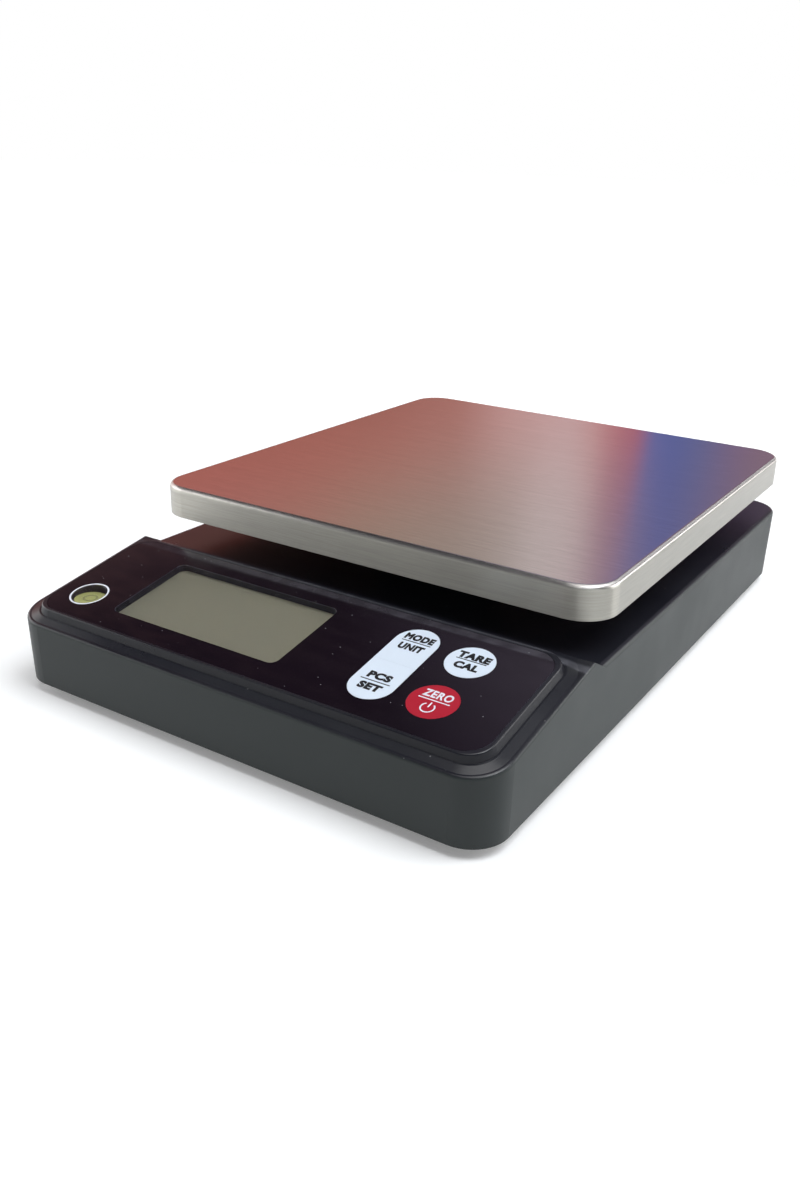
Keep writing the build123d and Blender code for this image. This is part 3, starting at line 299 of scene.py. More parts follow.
def overlay_film(name):
    """Glossy printed film, purple-black, with dust, a painted highlight on its cut edges and the faint
    orange peel of its glue.
    """
    powder_color, cut_edge_highlight_color, dust_color = srgb(122, 120, 130), srgb(92, 90, 102), srgb(205, 205, 210)
    recipe = Recipe(name, srgb(24, 16, 25), 0.16)
    slow = recipe.noise(40.0, 2.0)
    ink = recipe.mix(slow, srgb(15, 8, 16), srgb(21, 13, 22))
    dust = recipe.math("MULTIPLY", specks(recipe, 3.0, 0.22, 0.52), 0.32)
    lint = recipe.math("MULTIPLY", specks(recipe, 10.0, 0.36, 0.5), 0.45)
    both = recipe.math("MAXIMUM", dust, lint)
    # painted highlight: the film's cut edges are coloured lighter, standing in for light caught on them
    cut_edge_highlight = recipe.ramp(recipe.facing("Z"), 0.5, 0.8, 1.0, 0.0)
    film_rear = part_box("panel_overlay")[1].y
    settled = recipe.math("MULTIPLY", powder(recipe, film_rear - POWDER_BEFORE), 0.26)
    with_edge_highlight = recipe.mix(cut_edge_highlight, recipe.mix(settled, ink, powder_color), cut_edge_highlight_color)
    recipe.feed("Base Color", recipe.mix(both, with_edge_highlight, dust_color))
    smear = recipe.ramp(recipe.noise((14.0, 5.0, 5.0), 3.0), 0.35, 0.7, 0.13, 0.2)
    recipe.feed("Roughness", recipe.math("ADD", smear, recipe.math("MULTIPLY", both, 0.1)))
    recipe.feed("Normal", recipe.bump(recipe.noise(2.6, 2.0), 0.003))
    return recipe


def printed(name, color, roughness):
    """Printed film of one colour, with the fine unevenness of screen ink."""
    recipe = Recipe(name, color, roughness)
    dots = recipe.noise(0.25, 1.0)
    slow = recipe.noise(9.0, 2.0)
    darker = tuple(0.93 * value for value in color[:3]) + (1.0,)
    uneven = recipe.math("ADD", recipe.math("MULTIPLY", dots, 0.4), recipe.math("MULTIPLY", slow, 0.6))
    recipe.feed("Base Color", recipe.mix(uneven, darker, color))
    recipe.feed("Roughness", recipe.ramp(slow, 0.3, 0.7, roughness - 0.02, roughness + 0.03))
    recipe.feed("Normal", recipe.bump(recipe.noise(1.8, 2.0), 0.003))
    return recipe


def display_glass(name):
    """Unlit liquid crystal display: grey-green and satin, with slow, faint clouds of a warmer tone."""
    recipe = Recipe(name, srgb(108, 109, 92), 0.36)
    cloud = recipe.noise(38.0, 1.0)
    recipe.feed("Base Color", recipe.mix(cloud, srgb(113, 111, 94), srgb(122, 118, 98)))
    recipe.feed("Normal", recipe.bump(recipe.noise(0.3, 1.0), 0.001))
    recipe.feed("Roughness", recipe.ramp(recipe.noise(12.0), 0.3, 0.7, 0.34, 0.38))
    return recipe


def brushed_steel(name):
    """Stainless sheet brushed from side to side; round the skirt the brushing runs along the edge, and the
    skirt is coloured darker as painted shade.
    """
    along_depth, along_height = (0, 1, 0, 1), (0, 0, 1, 1)  # the ways in which reflections are drawn out
    recipe = Recipe(name, srgb(196, 192, 188), 0.2, metallic=1.0)
    recipe.constant("Anisotropic", 0.92)
    side = recipe.ramp(recipe.facing("Z"), 0.3, 0.6, 1.0, 0.0)
    bent = recipe.ramp(recipe.facing("Z"), 0.93, 0.999, 1.0, 0.0)
    coarse = recipe.noise((30.0, 0.5, 0.5), 4.0, 0.75)
    fine = recipe.noise((5.0, 0.2, 0.2), 2.0, 0.7)
    skirt = recipe.noise((18.0, 18.0, 0.3), 4.0, 0.75)
    top_lines = recipe.math("ADD", recipe.math("MULTIPLY", coarse, 0.5), recipe.math("MULTIPLY", fine, 0.5))
    top_part = recipe.math("MULTIPLY", top_lines, recipe.math("SUBTRACT", 1.0, side))
    lines = recipe.math("ADD", top_part, recipe.math("MULTIPLY", skirt, side))
    streaks = recipe.ramp(lines, 0.25, 0.75)
    flat = recipe.mix(streaks, srgb(184, 180, 176), srgb(208, 204, 200))
    # painted shade: the skirt's steel is coloured darker than the top, for the darker surroundings its
    # sides mirror
    skirt_painted_shade = recipe.mix(streaks, srgb(150, 148, 142), srgb(168, 166, 158))
    recipe.feed("Base Color", recipe.mix(side, flat, skirt_painted_shade))
    recipe.feed("Roughness", recipe.ramp(bent, 0.0, 1.0, 0.15, 0.34))
    recipe.feed("Normal", recipe.bump(lines, 0.003))
    recipe.feed("Tangent", recipe.mix(side, along_depth, along_height))
    return recipe


def circuit_board(name):
    """Green solder resist over copper tracks, with tinned pads."""
    recipe = Recipe(name, srgb(24, 74, 44), 0.32)
    tracks = recipe.ramp(recipe.cells(4.0, 0.35, "DISTANCE_TO_EDGE"), 0.04, 0.07, 1.0, 0.0)
    green = recipe.mix(tracks, srgb(22, 70, 42), srgb(44, 108, 62))
    pads = recipe.ramp(recipe.cells(3.2, 0.2), 0.13, 0.16, 1.0, 0.0)
    recipe.feed("Base Color", recipe.mix(pads, green, srgb(200, 198, 190)))
    recipe.feed("Metallic", pads)
    recipe.feed("Normal", recipe.bump(recipe.math("MAXIMUM", tracks, pads), 0.03))
    return recipe


def battery_jacket(name):
    """Foil-sleeved cells: a dark jacket with a lighter belt, and steel at the ends."""
    recipe = Recipe(name, srgb(40, 70, 60), 0.25)
    low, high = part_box("batteries")
    middle = (low.x + high.x) / 2
    reach = recipe.math("ABSOLUTE", recipe.math("SUBTRACT", recipe.axis("X"), middle))
    half = (high.x - low.x) / 2
    belt = recipe.ramp(reach, 0.30 * half, 0.32 * half, 1.0, 0.0)
    ends = recipe.ramp(recipe.math("ABSOLUTE", recipe.facing("X")), 0.5, 0.7)
    jacket = recipe.mix(belt, srgb(28, 52, 46), srgb(190, 150, 70))
    recipe.feed("Base Color", recipe.mix(ends, jacket, srgb(190, 190, 188)))
    recipe.feed("Metallic", ends)
    recipe.feed("Normal", recipe.bump(recipe.noise(3.0, 2.0), 0.01))
    return recipe


def milky_cup(name):
    """The vial's cup: milky, tinted plastic that light goes a little way into."""
    recipe = moulded(name, srgb(140, 142, 84), 0.78, grain=0.6, depth=0.004)
    recipe.constant("Subsurface Weight", 0.15)
    recipe.constant("Subsurface Radius", (0.002, 0.002, 0.0008))
    return recipe


finishes = {
    "housing_plastic": housing_plastic("housing_plastic_finish"),
    "lower_plastic": moulded("lower_plastic_finish", srgb(42, 44, 45), 0.99, 0.35, 0.015),
    "overlay_film": overlay_film("overlay_film_finish"),
    "clear_window": see_through("clear_window_finish", srgb(250, 250, 252), 0.02, 1.49),
    "display_glass": display_glass("display_glass_finish"),
    "key_white": printed("key_white_finish", srgb(225, 236, 249), 0.34),
    "key_red": printed("key_red_finish", srgb(180, 28, 48), 0.3),
    "inner_plastic": moulded("inner_plastic_finish", srgb(34, 34, 38), 0.94, 0.4, 0.008),
    "elastomer": rubbery("elastomer_finish", srgb(170, 120, 130), 1.0),
    "vial_acrylic": milky_cup("vial_acrylic_finish"),
    "vial_liquid": see_through("vial_liquid_finish", srgb(190, 196, 110), 0.02, 1.38),
    "circuit_board": circuit_board("circuit_board_finish"),
    "chip_resin": moulded("chip_resin_finish", srgb(32, 32, 34), 0.94, 0.15, 0.004),
    "crystal_can": bare_metal("crystal_can_finish", srgb(205, 203, 198), 0.25),
    "socket_nylon": moulded("socket_nylon_finish", srgb(226, 220, 204), 0.89, 0.3, 0.006),
    "screw_steel": bare_metal("screw_steel_finish", srgb(170, 168, 164), 0.32),
    "cell_aluminium": bare_metal("cell_aluminium_finish", srgb(196, 197, 199), 0.34, (0.2, 14.0, 0.2)),
    "gauge_silicone": rubbery("gauge_silicone_finish", srgb(228, 228, 222), 0.89),
    "plate_steel": bare_metal("plate_steel_finish", srgb(176, 174, 166), 0.36),
    "support_plastic": moulded("support_plastic_finish", srgb(30, 30, 32), 0.94, 0.35, 0.012),
    "pad_rubber": rubbery("pad_rubber_finish", srgb(40, 40, 40), 1.0),
    "pan_steel": brushed_steel("pan_steel_finish"),
    "battery_jacket": battery_jacket("battery_jacket_finish"),
    "contact_steel": bare_metal("contact_steel_finish", srgb(206, 204, 198), 0.22),
    "insert_brass": bare_metal("insert_brass_finish", srgb(206, 170, 96), 0.28),
    "foot_plastic": moulded("foot_plastic_finish", srgb(36, 36, 38), 0.94, 0.35, 0.012),
    "foot_rubber": rubbery("foot_rubber_finish", srgb(34, 34, 35), 1.0),
    "cable_jacket": rubbery("cable_jacket_finish", srgb(32, 32, 34), 0.94),
    "lead_red": rubbery("lead_red_finish", srgb(170, 30, 34), 0.89),
}
for node in nodes.values():
    for slot in node.material_slots:
        slot.material = finishes[slot.material.name].material

black_ink = printed("black_ink_finish", srgb(14, 13, 18), 0.45)
black_ink.constant("Specular IOR Level", 0.25)
white_ink = printed("white_ink_finish", srgb(232, 236, 246), 0.4)

# ---------------------------------------------------------------- the panel's own directions
panel_up = Vector(joints["press_tare"]["axis"]).normalized()
panel_right = Vector((1, 0, 0))
panel_rear = panel_up.cross(panel_right)
rise, run = panel_rear.z, panel_rear.y  # what a step of 1 up the slope gains in height and in depth


def top_middle(name):
    """The middle of the top face of a flat piece that lies along the panel, worked out from its box."""
    low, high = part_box(name)
    spread = high - low
    length = (spread.y * run - spread.z * rise) / (run * run - rise * rise)
    front = Vector(((low.x + high.x) / 2, low.y, high.z - length * rise))
    return front + panel_rear * (length / 2)


def on_panel(origin):
    """The matrix of a place on the panel: x to the right, y up the slope, z out of it."""
    matrix = Matrix((panel_right, panel_rear, panel_up)).transposed().to_4x4()
    matrix.translation = origin
    return matrix


film_middle = top_middle("panel_overlay")


def key_middle(name, end=1):
    """The middle of a round key, or of a half capsule's round end: 1 is its rear end and -1 its front."""
    low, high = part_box(name)
    radius = (high.x - low.x) / 2
    if end > 0:
        along = (high.z - film_middle.z) / rise - radius
    else:
        along = (low.y - film_middle.y) / run + radius
    middle = film_middle + panel_rear * along
    middle.x = (low.x + high.x) / 2
    return middle


# ---------------------------------------------------------------- printed pieces
INK = 0.015 * MM  # how far print stands off the film
LETTER_HEIGHT = 3.2 * MM
LETTER_SPACING = 1.1
SAME_POINT = 0.0005  # outline points closer than this are one, in letter sizes
BOLD, SEMIBOLD = 0.066, 0.034  # how far strokes grow on each side, in letter sizes
SHARPEST = 0.35  # keeps the point of a sharp corner from shooting out when strokes grow
LINE_WIDTH, LINE_LENGTH = 0.38 * MM, 10.0 * MM  # the line between a key's two legends
POWER_RING = (1.75 * MM, 2.2 * MM)  # inner and outer radius of the power sign's open ring
POWER_GAP = math.radians(76)  # how wide it stands open at its top
POWER_STROKE = (0.45 * MM, 2.3 * MM)  # width and length of the stroke in that gap
POWER_STROKE_UP = 1.3 * MM  # from the sign's middle to the stroke's
LEVEL_RING = (5.9 * MM, 6.5 * MM)  # inner and outer radius of the ring round the level's window
VIAL_RINGS = (1.9 * MM, 2.3 * MM)  # inner radii of the two circles on the vial's cap
VIAL_RING_WIDTH = 0.16 * MM


def add_piece(name, mesh, body, recipe):
    """Makes a flat-shaded object of a bmesh, which rides on a body and belongs to a material slot."""
    bmesh.ops.recalc_face_normals(mesh, faces=mesh.faces)
    data = bpy.data.meshes.new(name)
    mesh.to_mesh(data)
    mesh.free()
    data.materials.append(recipe.material)
    data.shade_flat()
    piece = bpy.data.objects.new(name, data)
    scene.collection.objects.link(piece)
    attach(piece, body)


def prism(mesh, matrix, outline, low, high):
    """A closed flat shape: an outline of x, y points between two heights."""
    bottom = [mesh.verts.new(matrix @ Vector((x, y, low))) for x, y in outline]
    top = [mesh.verts.new(matrix @ Vector((x, y, high))) for x, y in outline]
    mesh.faces.new(list(reversed(bottom)))
    mesh.faces.new(top)
    for here, after in zip(range(len(outline)), [*range(1, len(outline)), 0]):
        mesh.faces.new((bottom[here], bottom[after], top[after], top[here]))


def capsule(width, length, steps=8):
    """Outline of a bar with round ends, its length along x."""
    radius = width / 2
    points = []
    for end, side in ((length / 2 - radius, 1), (radius - length / 2, -1)):
        for step in range(steps + 1):
            angle = side * (math.pi * step / steps - math.pi / 2)
            turned = angle if side > 0 else math.pi - angle
            points.append((end + radius * math.cos(turned), radius * math.sin(turned)))
    return points


def band(mesh, matrix, inner, outer, low, high, start=0.0, turn=math.tau, steps=64):
    """A closed flat band between two radii, all the way round or with square ends."""
    whole = turn > math.tau - 0.001
    columns = []
    for step in range(steps if whole else steps + 1):
        angle = start + turn * step / steps
        corners = ((inner, low), (outer, low), (outer, high), (inner, high))
        column = []
        for radius, height in corners:
            point = Vector((radius * math.cos(angle), radius * math.sin(angle), height))
            column.append(mesh.verts.new(matrix @ point))
        columns.append(column)
    following = columns[1:] + columns[:1] if whole else columns[1:]
    for here, after in zip(columns, following):
        for side in range(4):
            other = (side + 1) % 4
            mesh.faces.new((here[side], here[other], after[other], after[side]))
    if not whole:
        mesh.faces.new(list(reversed(columns[0])))
        mesh.faces.new(columns[-1])


def thicken(mesh, amount):
    """Moves the outline of flat letters outwards, so that their strokes grow by twice the amount."""
    moves = {}
    for vert in mesh.verts:
        outward = Vector((0, 0, 0))
        normals = []
        for edge in vert.link_edges:
            if not edge.is_boundary:
                continue
            along = (edge.verts[1].co - edge.verts[0].co).normalized()
            normal = Vector((along.y, -along.x, 0))
            middle = (edge.verts[0].co + edge.verts[1].co) / 2
            inside = edge.link_faces[0].calc_center_median() - middle
            normals.append(-normal if normal.dot(inside) > 0 else normal)
        if len(normals) == 2:
            outward = (normals[0] + normals[1]) / max(SHARPEST, 1 + normals[0].dot(normals[1]))
        moves[vert] = outward * amount
    for vert, move in moves.items():
        vert.co += move


def word(mesh, matrix, text, width, y, gain):
    """A word in plain capitals, that wide, its middle that far up the key; gain makes it bolder."""
    curve = bpy.data.curves.new(text, "FONT")
    curve.body = text
    curve.align_x = "CENTER"
    curve.resolution_u = 5
    curve.space_character = LETTER_SPACING
    holder = bpy.data.objects.new(text, curve)
    scene.collection.objects.link(holder)
    bpy.context.view_layer.update()
    flat = bpy.data.meshes.new_from_object(holder)
    bpy.data.objects.remove(holder)
    letters = bmesh.new()
    letters.from_mesh(flat)
    bpy.data.meshes.remove(flat)
    bmesh.ops.remove_doubles(letters, verts=letters.verts, dist=SAME_POINT)
    thicken(letters, gain)
    xs = [vert.co.x for vert in letters.verts]
    ys = [vert.co.y for vert in letters.verts]
    middle_x = (max(xs) + min(xs)) / 2
    middle_y = (max(ys) + min(ys)) / 2
    scale_x = width / (max(xs) - min(xs))
    scale_y = LETTER_HEIGHT / (max(ys) - min(ys))
    raised = bmesh.ops.extrude_face_region(letters, geom=letters.faces[:])["geom"]
    for vert in raised:
        if isinstance(vert, bmesh.types.BMVert):
            vert.co.z = 1.0
    for vert in letters.verts:
        x = (vert.co.x - middle_x) * scale_x
        vert.co = matrix @ Vector((x, (vert.co.y - middle_y) * scale_y + y, vert.co.z * INK))
    solid = bpy.data.meshes.new(text)
    letters.to_mesh(solid)
    letters.free()
    mesh.from_mesh(solid)
    bpy.data.meshes.remove(solid)


def legend(key, rows, line_y, recipe, gain=BOLD, icon_y=None):
    """The print on one key: a word above a line, and a word or the power sign below it."""
    front_half = key == "pcs"
    matrix = on_panel(key_middle(f"key_{key}", -1 if front_half else 1))
    mesh = bmesh.new()
    for text, width, y in rows:
        word(mesh, matrix, text, width * MM, y * MM, gain)
    line = [(x, y + line_y * MM) for x, y in capsule(LINE_WIDTH, LINE_LENGTH)]
    prism(mesh, matrix, line, 0.0, INK)
    if icon_y is not None:
        sign = matrix @ Matrix.Translation((0, icon_y * MM, 0))
        start = math.pi / 2 + POWER_GAP / 2
        band(mesh, sign, *POWER_RING, 0.0, INK, start, math.tau - POWER_GAP, 40)
        stroke = [(y, x + POWER_STROKE_UP) for x, y in capsule(*POWER_STROKE)]
        prism(mesh, sign, stroke, 0.0, INK)
    add_piece(f"{key}_legend", mesh, f"{key}_key", recipe)


# each row of print is a word, its width and the height of its middle on the key, in millimetres
legend("mode", [("MODE", 10.0, 2.5), ("UNIT", 8.4, -2.6)], 0.2, black_ink)
legend("pcs", [("PCS", 7.75, 3.75), ("SET", 7.5, -1.45)], 1.25, black_ink)
legend("tare", [("TARE", 10.6, 2.75), ("CAL", 7.9, -2.15)], 0.65, black_ink)
legend("zero", [("ZERO", 9.25, 3.0)], 0.5, white_ink, SEMIBOLD, icon_y=-2.9)


def level_ring():
    """The white ring printed round the level's window."""
    mesh = bmesh.new()
    band(mesh, on_panel(top_middle("level_window")), *LEVEL_RING, 0.0, INK, steps=96)
    add_piece("level_ring", mesh, "housing", white_ink)


def vial_rings():
    """Two fine black circles on the vial's cap, which the bubble is set between."""
    low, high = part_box("level_cap")
    matrix = Matrix.Translation(((low.x + high.x) / 2, (low.y + high.y) / 2, high.z))
    mesh = bmesh.new()
    for radius in VIAL_RINGS:
        band(mesh, matrix, radius, radius + VIAL_RING_WIDTH, 0.0, INK, steps=48)
    add_piece("vial_rings", mesh, "housing", black_ink)


level_ring()
vial_rings()


# ---------------------------------------------------------------- studio
FLOOR_SIDE = 12.0
FLOOR_THICKNESS = 20 * MM
FLOOR_GAP = 0.2 * MM  # the floor's top lies this far under the feet
FLOOR_NEAR, FLOOR_FAR = 0.15, 0.75  # metres from the middle, between which the floor brightens
FLOOR_DIM, FLOOR_BRIGHT = 0.2, 1.0  # the light it gives by itself, near and far


def floor():
    """A pale floor that brightens to plain white away from the scale."""
    mesh = bmesh.new()
    half = FLOOR_SIDE / 2
    corners = [(-half, -half), (half, -half), (half, half), (-half, half)]
    prism(mesh, Matrix.Identity(4), corners, -FLOOR_THICKNESS, -FLOOR_GAP)
    data = bpy.data.meshes.new("floor")
    mesh.to_mesh(data)
    mesh.free()
    recipe = Recipe("floor_finish", srgb(240, 240, 240), 0.9)
    recipe.constant("Specular IOR Level", 0.0)
    away = recipe.nodes.new("ShaderNodeVectorMath")
    away.operation = "LENGTH"
    recipe.links.new(recipe.place, away.inputs[0])
    far = recipe.ramp(away.outputs["Value"], FLOOR_NEAR, FLOOR_FAR)
    recipe.constant("Emission Color", (1, 1, 1, 1))
    recipe.feed("Emission Strength", recipe.ramp(far, 0.0, 1.0, FLOOR_DIM, FLOOR_BRIGHT))
    data.materials.append(recipe.material)
    plane = bpy.data.objects.new("floor", data)
    scene.collection.objects.link(plane)


def color_stops(ramp, stops):
    """Gives a colour ramp its stops, as pairs of position and linear colour."""
    elements = ramp.color_ramp.elements
    while len(elements) < len(stops):
        elements.new(0.5)
    for element, (position, color) in zip(elements, stops):
        element.position = position
        element.color = color


SKY = (  # what lies around the scale: a height, 0 level with it and 1 straight above, and its colour
    (0.0, (0.7, 0.71, 0.72, 1)),
    (0.22, (0.42, 0.43, 0.45, 1)),
    (0.5, (0.04, 0.04, 0.05, 1)),
)
SHADE_SIDE = (0.66, -0.75, 0)  # less soft light comes from here, where the front right corner faces
SHADE_FULL = 0.85  # the shade is full where the direction agrees this well with that side
SHADE_SHARE = 0.95  # and takes this share of the soft light


def surroundings():
    """White behind the scale; what it mirrors is a pale horizon under a dark ceiling."""
    world = bpy.data.worlds.new("studio")
    scene.world = world
    world.use_nodes = True
    tree = world.node_tree
    back = tree.nodes["Background"]
    place = tree.nodes.new("ShaderNodeTexCoord")
    split = tree.nodes.new("ShaderNodeSeparateXYZ")
    ramp = tree.nodes.new("ShaderNodeValToRGB")
    color_stops(ramp, SKY)
    tree.links.new(place.outputs["Generated"], split.inputs["Vector"])
    tree.links.new(split.outputs["Z"], ramp.inputs["Fac"])
    path = tree.nodes.new("ShaderNodeLightPath")
    toward = tree.nodes.new("ShaderNodeVectorMath")
    toward.operation = "DOT_PRODUCT"
    toward.inputs[1].default_value = SHADE_SIDE
    tree.links.new(place.outputs["Generated"], toward.inputs[0])
    shade = tree.nodes.new("ShaderNodeMapRange")
    shade.interpolation_type = "SMOOTHSTEP"
    shade.inputs["From Max"].default_value = SHADE_FULL
    shade.inputs["To Max"].default_value = SHADE_SHARE
    tree.links.new(toward.outputs["Value"], shade.inputs["Value"])
    # strength is 1 less the shade, which only soft light feels: mirrored light keeps its strength
    taken = tree.nodes.new("ShaderNodeMath")
    taken.operation = "MULTIPLY"
    tree.links.new(shade.outputs["Result"], taken.inputs[0])
    tree.links.new(path.outputs["Is Diffuse Ray"], taken.inputs[1])
    strength = tree.nodes.new("ShaderNodeMath")
    strength.operation = "SUBTRACT"
    strength.inputs[0].default_value = 1.0
    tree.links.new(taken.outputs["Value"], strength.inputs[1])
    tree.links.new(strength.outputs["Value"], back.inputs["Strength"])
    seen = tree.nodes.new("ShaderNodeBackground")
    seen.inputs["Color"].default_value = (1, 1, 1, 1)
    either = tree.nodes.new("ShaderNodeMixShader")
    tree.links.new(ramp.outputs["Color"], back.inputs["Color"])
    tree.links.new(path.outputs["Is Camera Ray"], either.inputs["Fac"])
    tree.links.new(back.outputs["Background"], either.inputs[1])
    tree.links.new(seen.outputs["Background"], either.inputs[2])
    tree.links.new(either.outputs["Shader"], tree.nodes["World Output"].inputs["Surface"])


def soft_light(name, place, aim, size, power, color=(1, 1, 1)):
    """A rectangular soft box that faces a point; size in metres, power in watts."""
    data = bpy.data.lights.new(name, "AREA")
    data.shape = "RECTANGLE"
    data.size, data.size_y = size
    data.energy = power
    data.color = color
    lamp = bpy.data.objects.new(name, data)
    lamp.location = place
    lamp.rotation_euler = (Vector(aim) - Vector(place)).to_track_quat("-Z", "Y").to_euler()
    scene.collection.objects.link(lamp)


WALL_RADIUS = 9.0
WALL_LEFT, WALL_RIGHT = -80.0, 20.0  # compass degrees from straight behind the scale
WALL_FOOT, WALL_TOP = -1.0, 50.0  # degrees above the table
WALL_WIDTH, WALL_HEIGHT = WALL_RIGHT - WALL_LEFT, WALL_TOP - WALL_FOOT
WALL_COLUMNS, WALL_ROWS = 50, 26
FOOT_BORDER = (12.0, 14.0)  # soft borders between the strips of colour, in degrees above the table
WARM_BORDER = (16.4, 17.6)
TOP_BORDER = (27.0, 36.0)
BORDER_CLIMB = 0.22  # degrees of height that the warm part gains with each degree to the left
BORDER_COMPASS = -31.0  # where the warm part's upper border stands at its plain height

# the wall's colours from left to right, by compass degrees, in four strips from its foot up
ROOM_FOOT = (
    (-80, (150, 100, 92)),
    (-34, (150, 100, 92)),
    (-30, (190, 118, 110)),
    (-27, (240, 176, 176)),
    (-23.6, (240, 180, 182)),
    (-21.8, (234, 132, 132)),
    (-19.7, (224, 92, 96)),
    (-19.2, (90, 118, 204)),
    (-16.4, (112, 120, 170)),
    (-14.2, (156, 110, 140)),
    (-8, (180, 130, 140)),
    (20, (170, 150, 150)),
)
ROOM_LOWER = (
    (-80, (206, 118, 106)),
    (-42, (210, 118, 106)),
    (-34, (228, 122, 114)),
    (-30, (226, 138, 134)),
    (-27, (244, 180, 180)),
    (-23.6, (240, 180, 182)),
    (-21.8, (236, 128, 128)),
    (-19.7, (226, 84, 88)),
    (-19.2, (66, 106, 214)),
    (-16.4, (96, 118, 190)),
    (-14.2, (160, 112, 146)),
    (-8, (200, 150, 165)),
    (20, (190, 180, 180)),
)
ROOM_UPPER = (
    (-80, (206, 160, 160)),
    (-46, (204, 152, 150)),
    (-40, (188, 160, 148)),
    (-36, (180, 172, 158)),
    (-30, (180, 174, 164)),
    (-27.5, (196, 190, 184)),
    (-25.5, (228, 220, 220)),
    (-23.2, (226, 216, 218)),
    (-21.6, (176, 148, 168)),
    (-18.4, (108, 116, 184)),
    (-13.6, (150, 130, 150)),
    (20, (130, 120, 130)),
)
ROOM_TOP = (
    (-80, (48, 42, 44)),
    (-44, (54, 48, 52)),
    (-37, (140, 130, 148)),
    (-28, (196, 188, 206)),
    (20, (120, 120, 132)),
)


def wall_sheet():
    """The room wall's mesh, part of a sphere; its UV runs from 0 to 1 along it and up it."""
    mesh = bmesh.new()
    shade = mesh.loops.layers.uv.new("room")
    grid = []
    for column in range(WALL_COLUMNS + 1):
        compass = math.radians(WALL_LEFT + WALL_WIDTH * column / WALL_COLUMNS)
        line = []
        for row in range(WALL_ROWS + 1):
            rising = math.radians(WALL_FOOT + WALL_HEIGHT * row / WALL_ROWS)
            reach = math.cos(rising)
            way = Vector((reach * math.sin(compass), reach * math.cos(compass), math.sin(rising)))
            line.append(mesh.verts.new(way * WALL_RADIUS))
        grid.append(line)
    for column in range(WALL_COLUMNS):
        for row in range(WALL_ROWS):
            corners = ((column, row), (column + 1, row), (column + 1, row + 1), (column, row + 1))
            face = mesh.faces.new([grid[c][r] for c, r in corners])
            for loop, (c, r) in zip(face.loops, corners):
                loop[shade].uv = (c / WALL_COLUMNS, r / WALL_ROWS)
    data = bpy.data.meshes.new("room_wall")
    mesh.to_mesh(data)
    mesh.free()
    return data


def wall_glow():
    """The room wall's material: plain light in strips of colour with soft borders."""
    material = bpy.data.materials.new("room_wall_glow")
    material.use_nodes = True
    tree = material.node_tree
    tree.nodes.remove(tree.nodes["Principled BSDF"])
    light = tree.nodes.new("ShaderNodeEmission")
    tree.links.new(light.outputs["Emission"], tree.nodes["Material Output"].inputs["Surface"])
    uv = tree.nodes.new("ShaderNodeUVMap")
    split = tree.nodes.new("ShaderNodeSeparateXYZ")
    tree.links.new(uv.outputs["UV"], split.inputs["Vector"])

    def strip(stops):
        """Colours along the wall, by compass degrees."""
        ramp = tree.nodes.new("ShaderNodeValToRGB")
        placed = [((degrees - WALL_LEFT) / WALL_WIDTH, srgb(*color)) for degrees, color in stops]
        color_stops(ramp, placed)
        tree.links.new(split.outputs["X"], ramp.inputs["Fac"])
        return ramp.outputs["Color"]

    def above(border, under, over, level):
        """One strip over another, with a soft border between two heights in degrees."""
        low, high = border
        height = tree.nodes.new("ShaderNodeMapRange")
        height.interpolation_type = "SMOOTHSTEP"
        height.inputs["From Min"].default_value = (low - WALL_FOOT) / WALL_HEIGHT
        height.inputs["From Max"].default_value = (high - WALL_FOOT) / WALL_HEIGHT
        tree.links.new(level, height.inputs["Value"])
        blend = tree.nodes.new("ShaderNodeMix")
        blend.data_type = "RGBA"
        color_a, color_b = [socket for socket in blend.inputs if socket.type == "RGBA"]
        tree.links.new(height.outputs["Result"], blend.inputs["Factor"])
        tree.links.new(under, color_a)
        tree.links.new(over, color_b)
        return [socket for socket in blend.outputs if socket.type == "RGBA"][0]

    # the warm part's upper border climbs to the left: its height is read on a tilted level
    level = split.outputs["Y"]
    tilted = tree.nodes.new("ShaderNodeMath")
    tilted.operation = "MULTIPLY_ADD"
    tilted.inputs[1].default_value = BORDER_CLIMB * WALL_WIDTH / WALL_HEIGHT
    tree.links.new(split.outputs["X"], tilted.inputs[0])
    tree.links.new(level, tilted.inputs[2])
    shift = BORDER_CLIMB * (BORDER_COMPASS - WALL_LEFT)
    climbing_border = [height + shift for height in WARM_BORDER]
    warm = above(FOOT_BORDER, strip(ROOM_FOOT), strip(ROOM_LOWER), level)
    room = above(climbing_border, warm, strip(ROOM_UPPER), tilted.outputs["Value"])
    tree.links.new(above(TOP_BORDER, room, strip(ROOM_TOP), level), light.inputs["Color"])
    return material


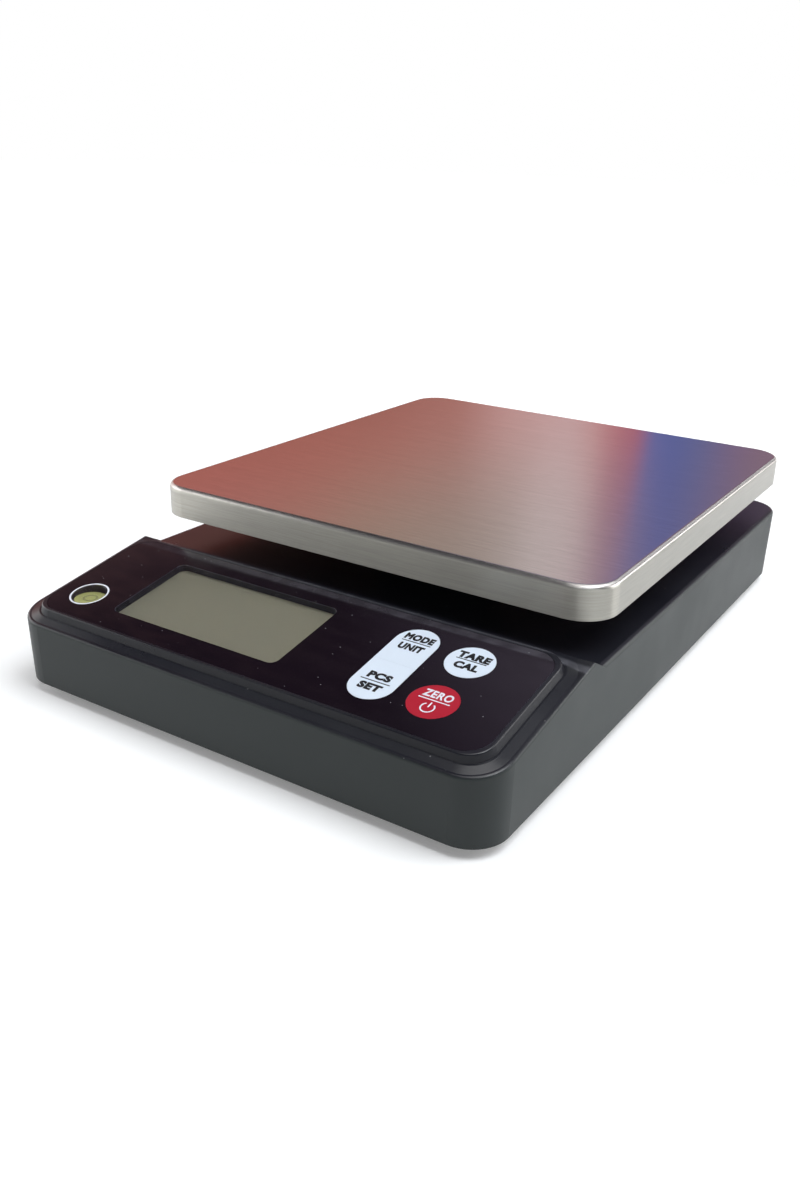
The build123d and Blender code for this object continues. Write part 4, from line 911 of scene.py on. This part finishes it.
def room_wall():
    """A far curved wall that only reflections see: the warm and blue room that the steel mirrors."""
    data = wall_sheet()
    data.materials.append(wall_glow())
    wall = bpy.data.objects.new("room_wall", data)
    scene.collection.objects.link(wall)
    wall.visible_camera = False
    wall.visible_diffuse = False
    wall.visible_shadow = False
    wall.visible_transmission = False
    wall.visible_volume_scatter = False


floor()
surroundings()
room_wall()
soft_light("right", (0.84, 0.05, 1.6), (0, 0, 0), (1.1, 1.1), 23.0, (0.93, 0.97, 1.0))
soft_light("overhead", (0.1, -0.1, 1.8), (0, 0, 0), (1.0, 1.4), 10.5)
soft_light("left_front", (-0.5, -0.25, 0.2), (-0.08, -0.11, 0.02), (0.5, 0.3), 1.2)
soft_light("right_rear", (0.95, 0.75, 0.4), (0, 0, 0.03), (0.6, 0.5), 6.5)
scene.view_settings.view_transform = "Standard"

# ---------------------------------------------------------------- camera
VIEW_YAW = math.radians(31.77)
VIEW_PITCH = math.radians(22.73)
VIEW_ROLL = math.radians(1.63)
VIEW_TARGET = Vector((4.25, -23.03, 21.5)) * MM
VIEW_DISTANCE = 387.2 * MM
SENSOR_WIDTH, LENS = 36.0, 32.05  # millimetres, as on a real camera
SHIFT_X, SHIFT_Y = -0.0202, -0.0075  # the photograph is a little off its own middle


def camera():
    """Looks down at the scale's front right corner, from the front and the right."""
    forward = Vector((
        -math.sin(VIEW_YAW) * math.cos(VIEW_PITCH),
        math.cos(VIEW_YAW) * math.cos(VIEW_PITCH),
        -math.sin(VIEW_PITCH),
    ))
    level = Vector((math.cos(VIEW_YAW), math.sin(VIEW_YAW), 0))
    above = level.cross(forward)
    right = level * math.cos(VIEW_ROLL) + above * math.sin(VIEW_ROLL)
    top = above * math.cos(VIEW_ROLL) - level * math.sin(VIEW_ROLL)
    data = bpy.data.cameras.new("camera")
    data.sensor_width = SENSOR_WIDTH
    data.lens = LENS
    data.shift_x = SHIFT_X
    data.shift_y = SHIFT_Y
    data.clip_start = 0.01
    eye = bpy.data.objects.new("camera", data)
    pose = Matrix((right, top, -forward)).transposed().to_4x4()
    pose.translation = VIEW_TARGET - forward * VIEW_DISTANCE
    eye.matrix_world = pose
    scene.collection.objects.link(eye)
    scene.camera = eye


camera()
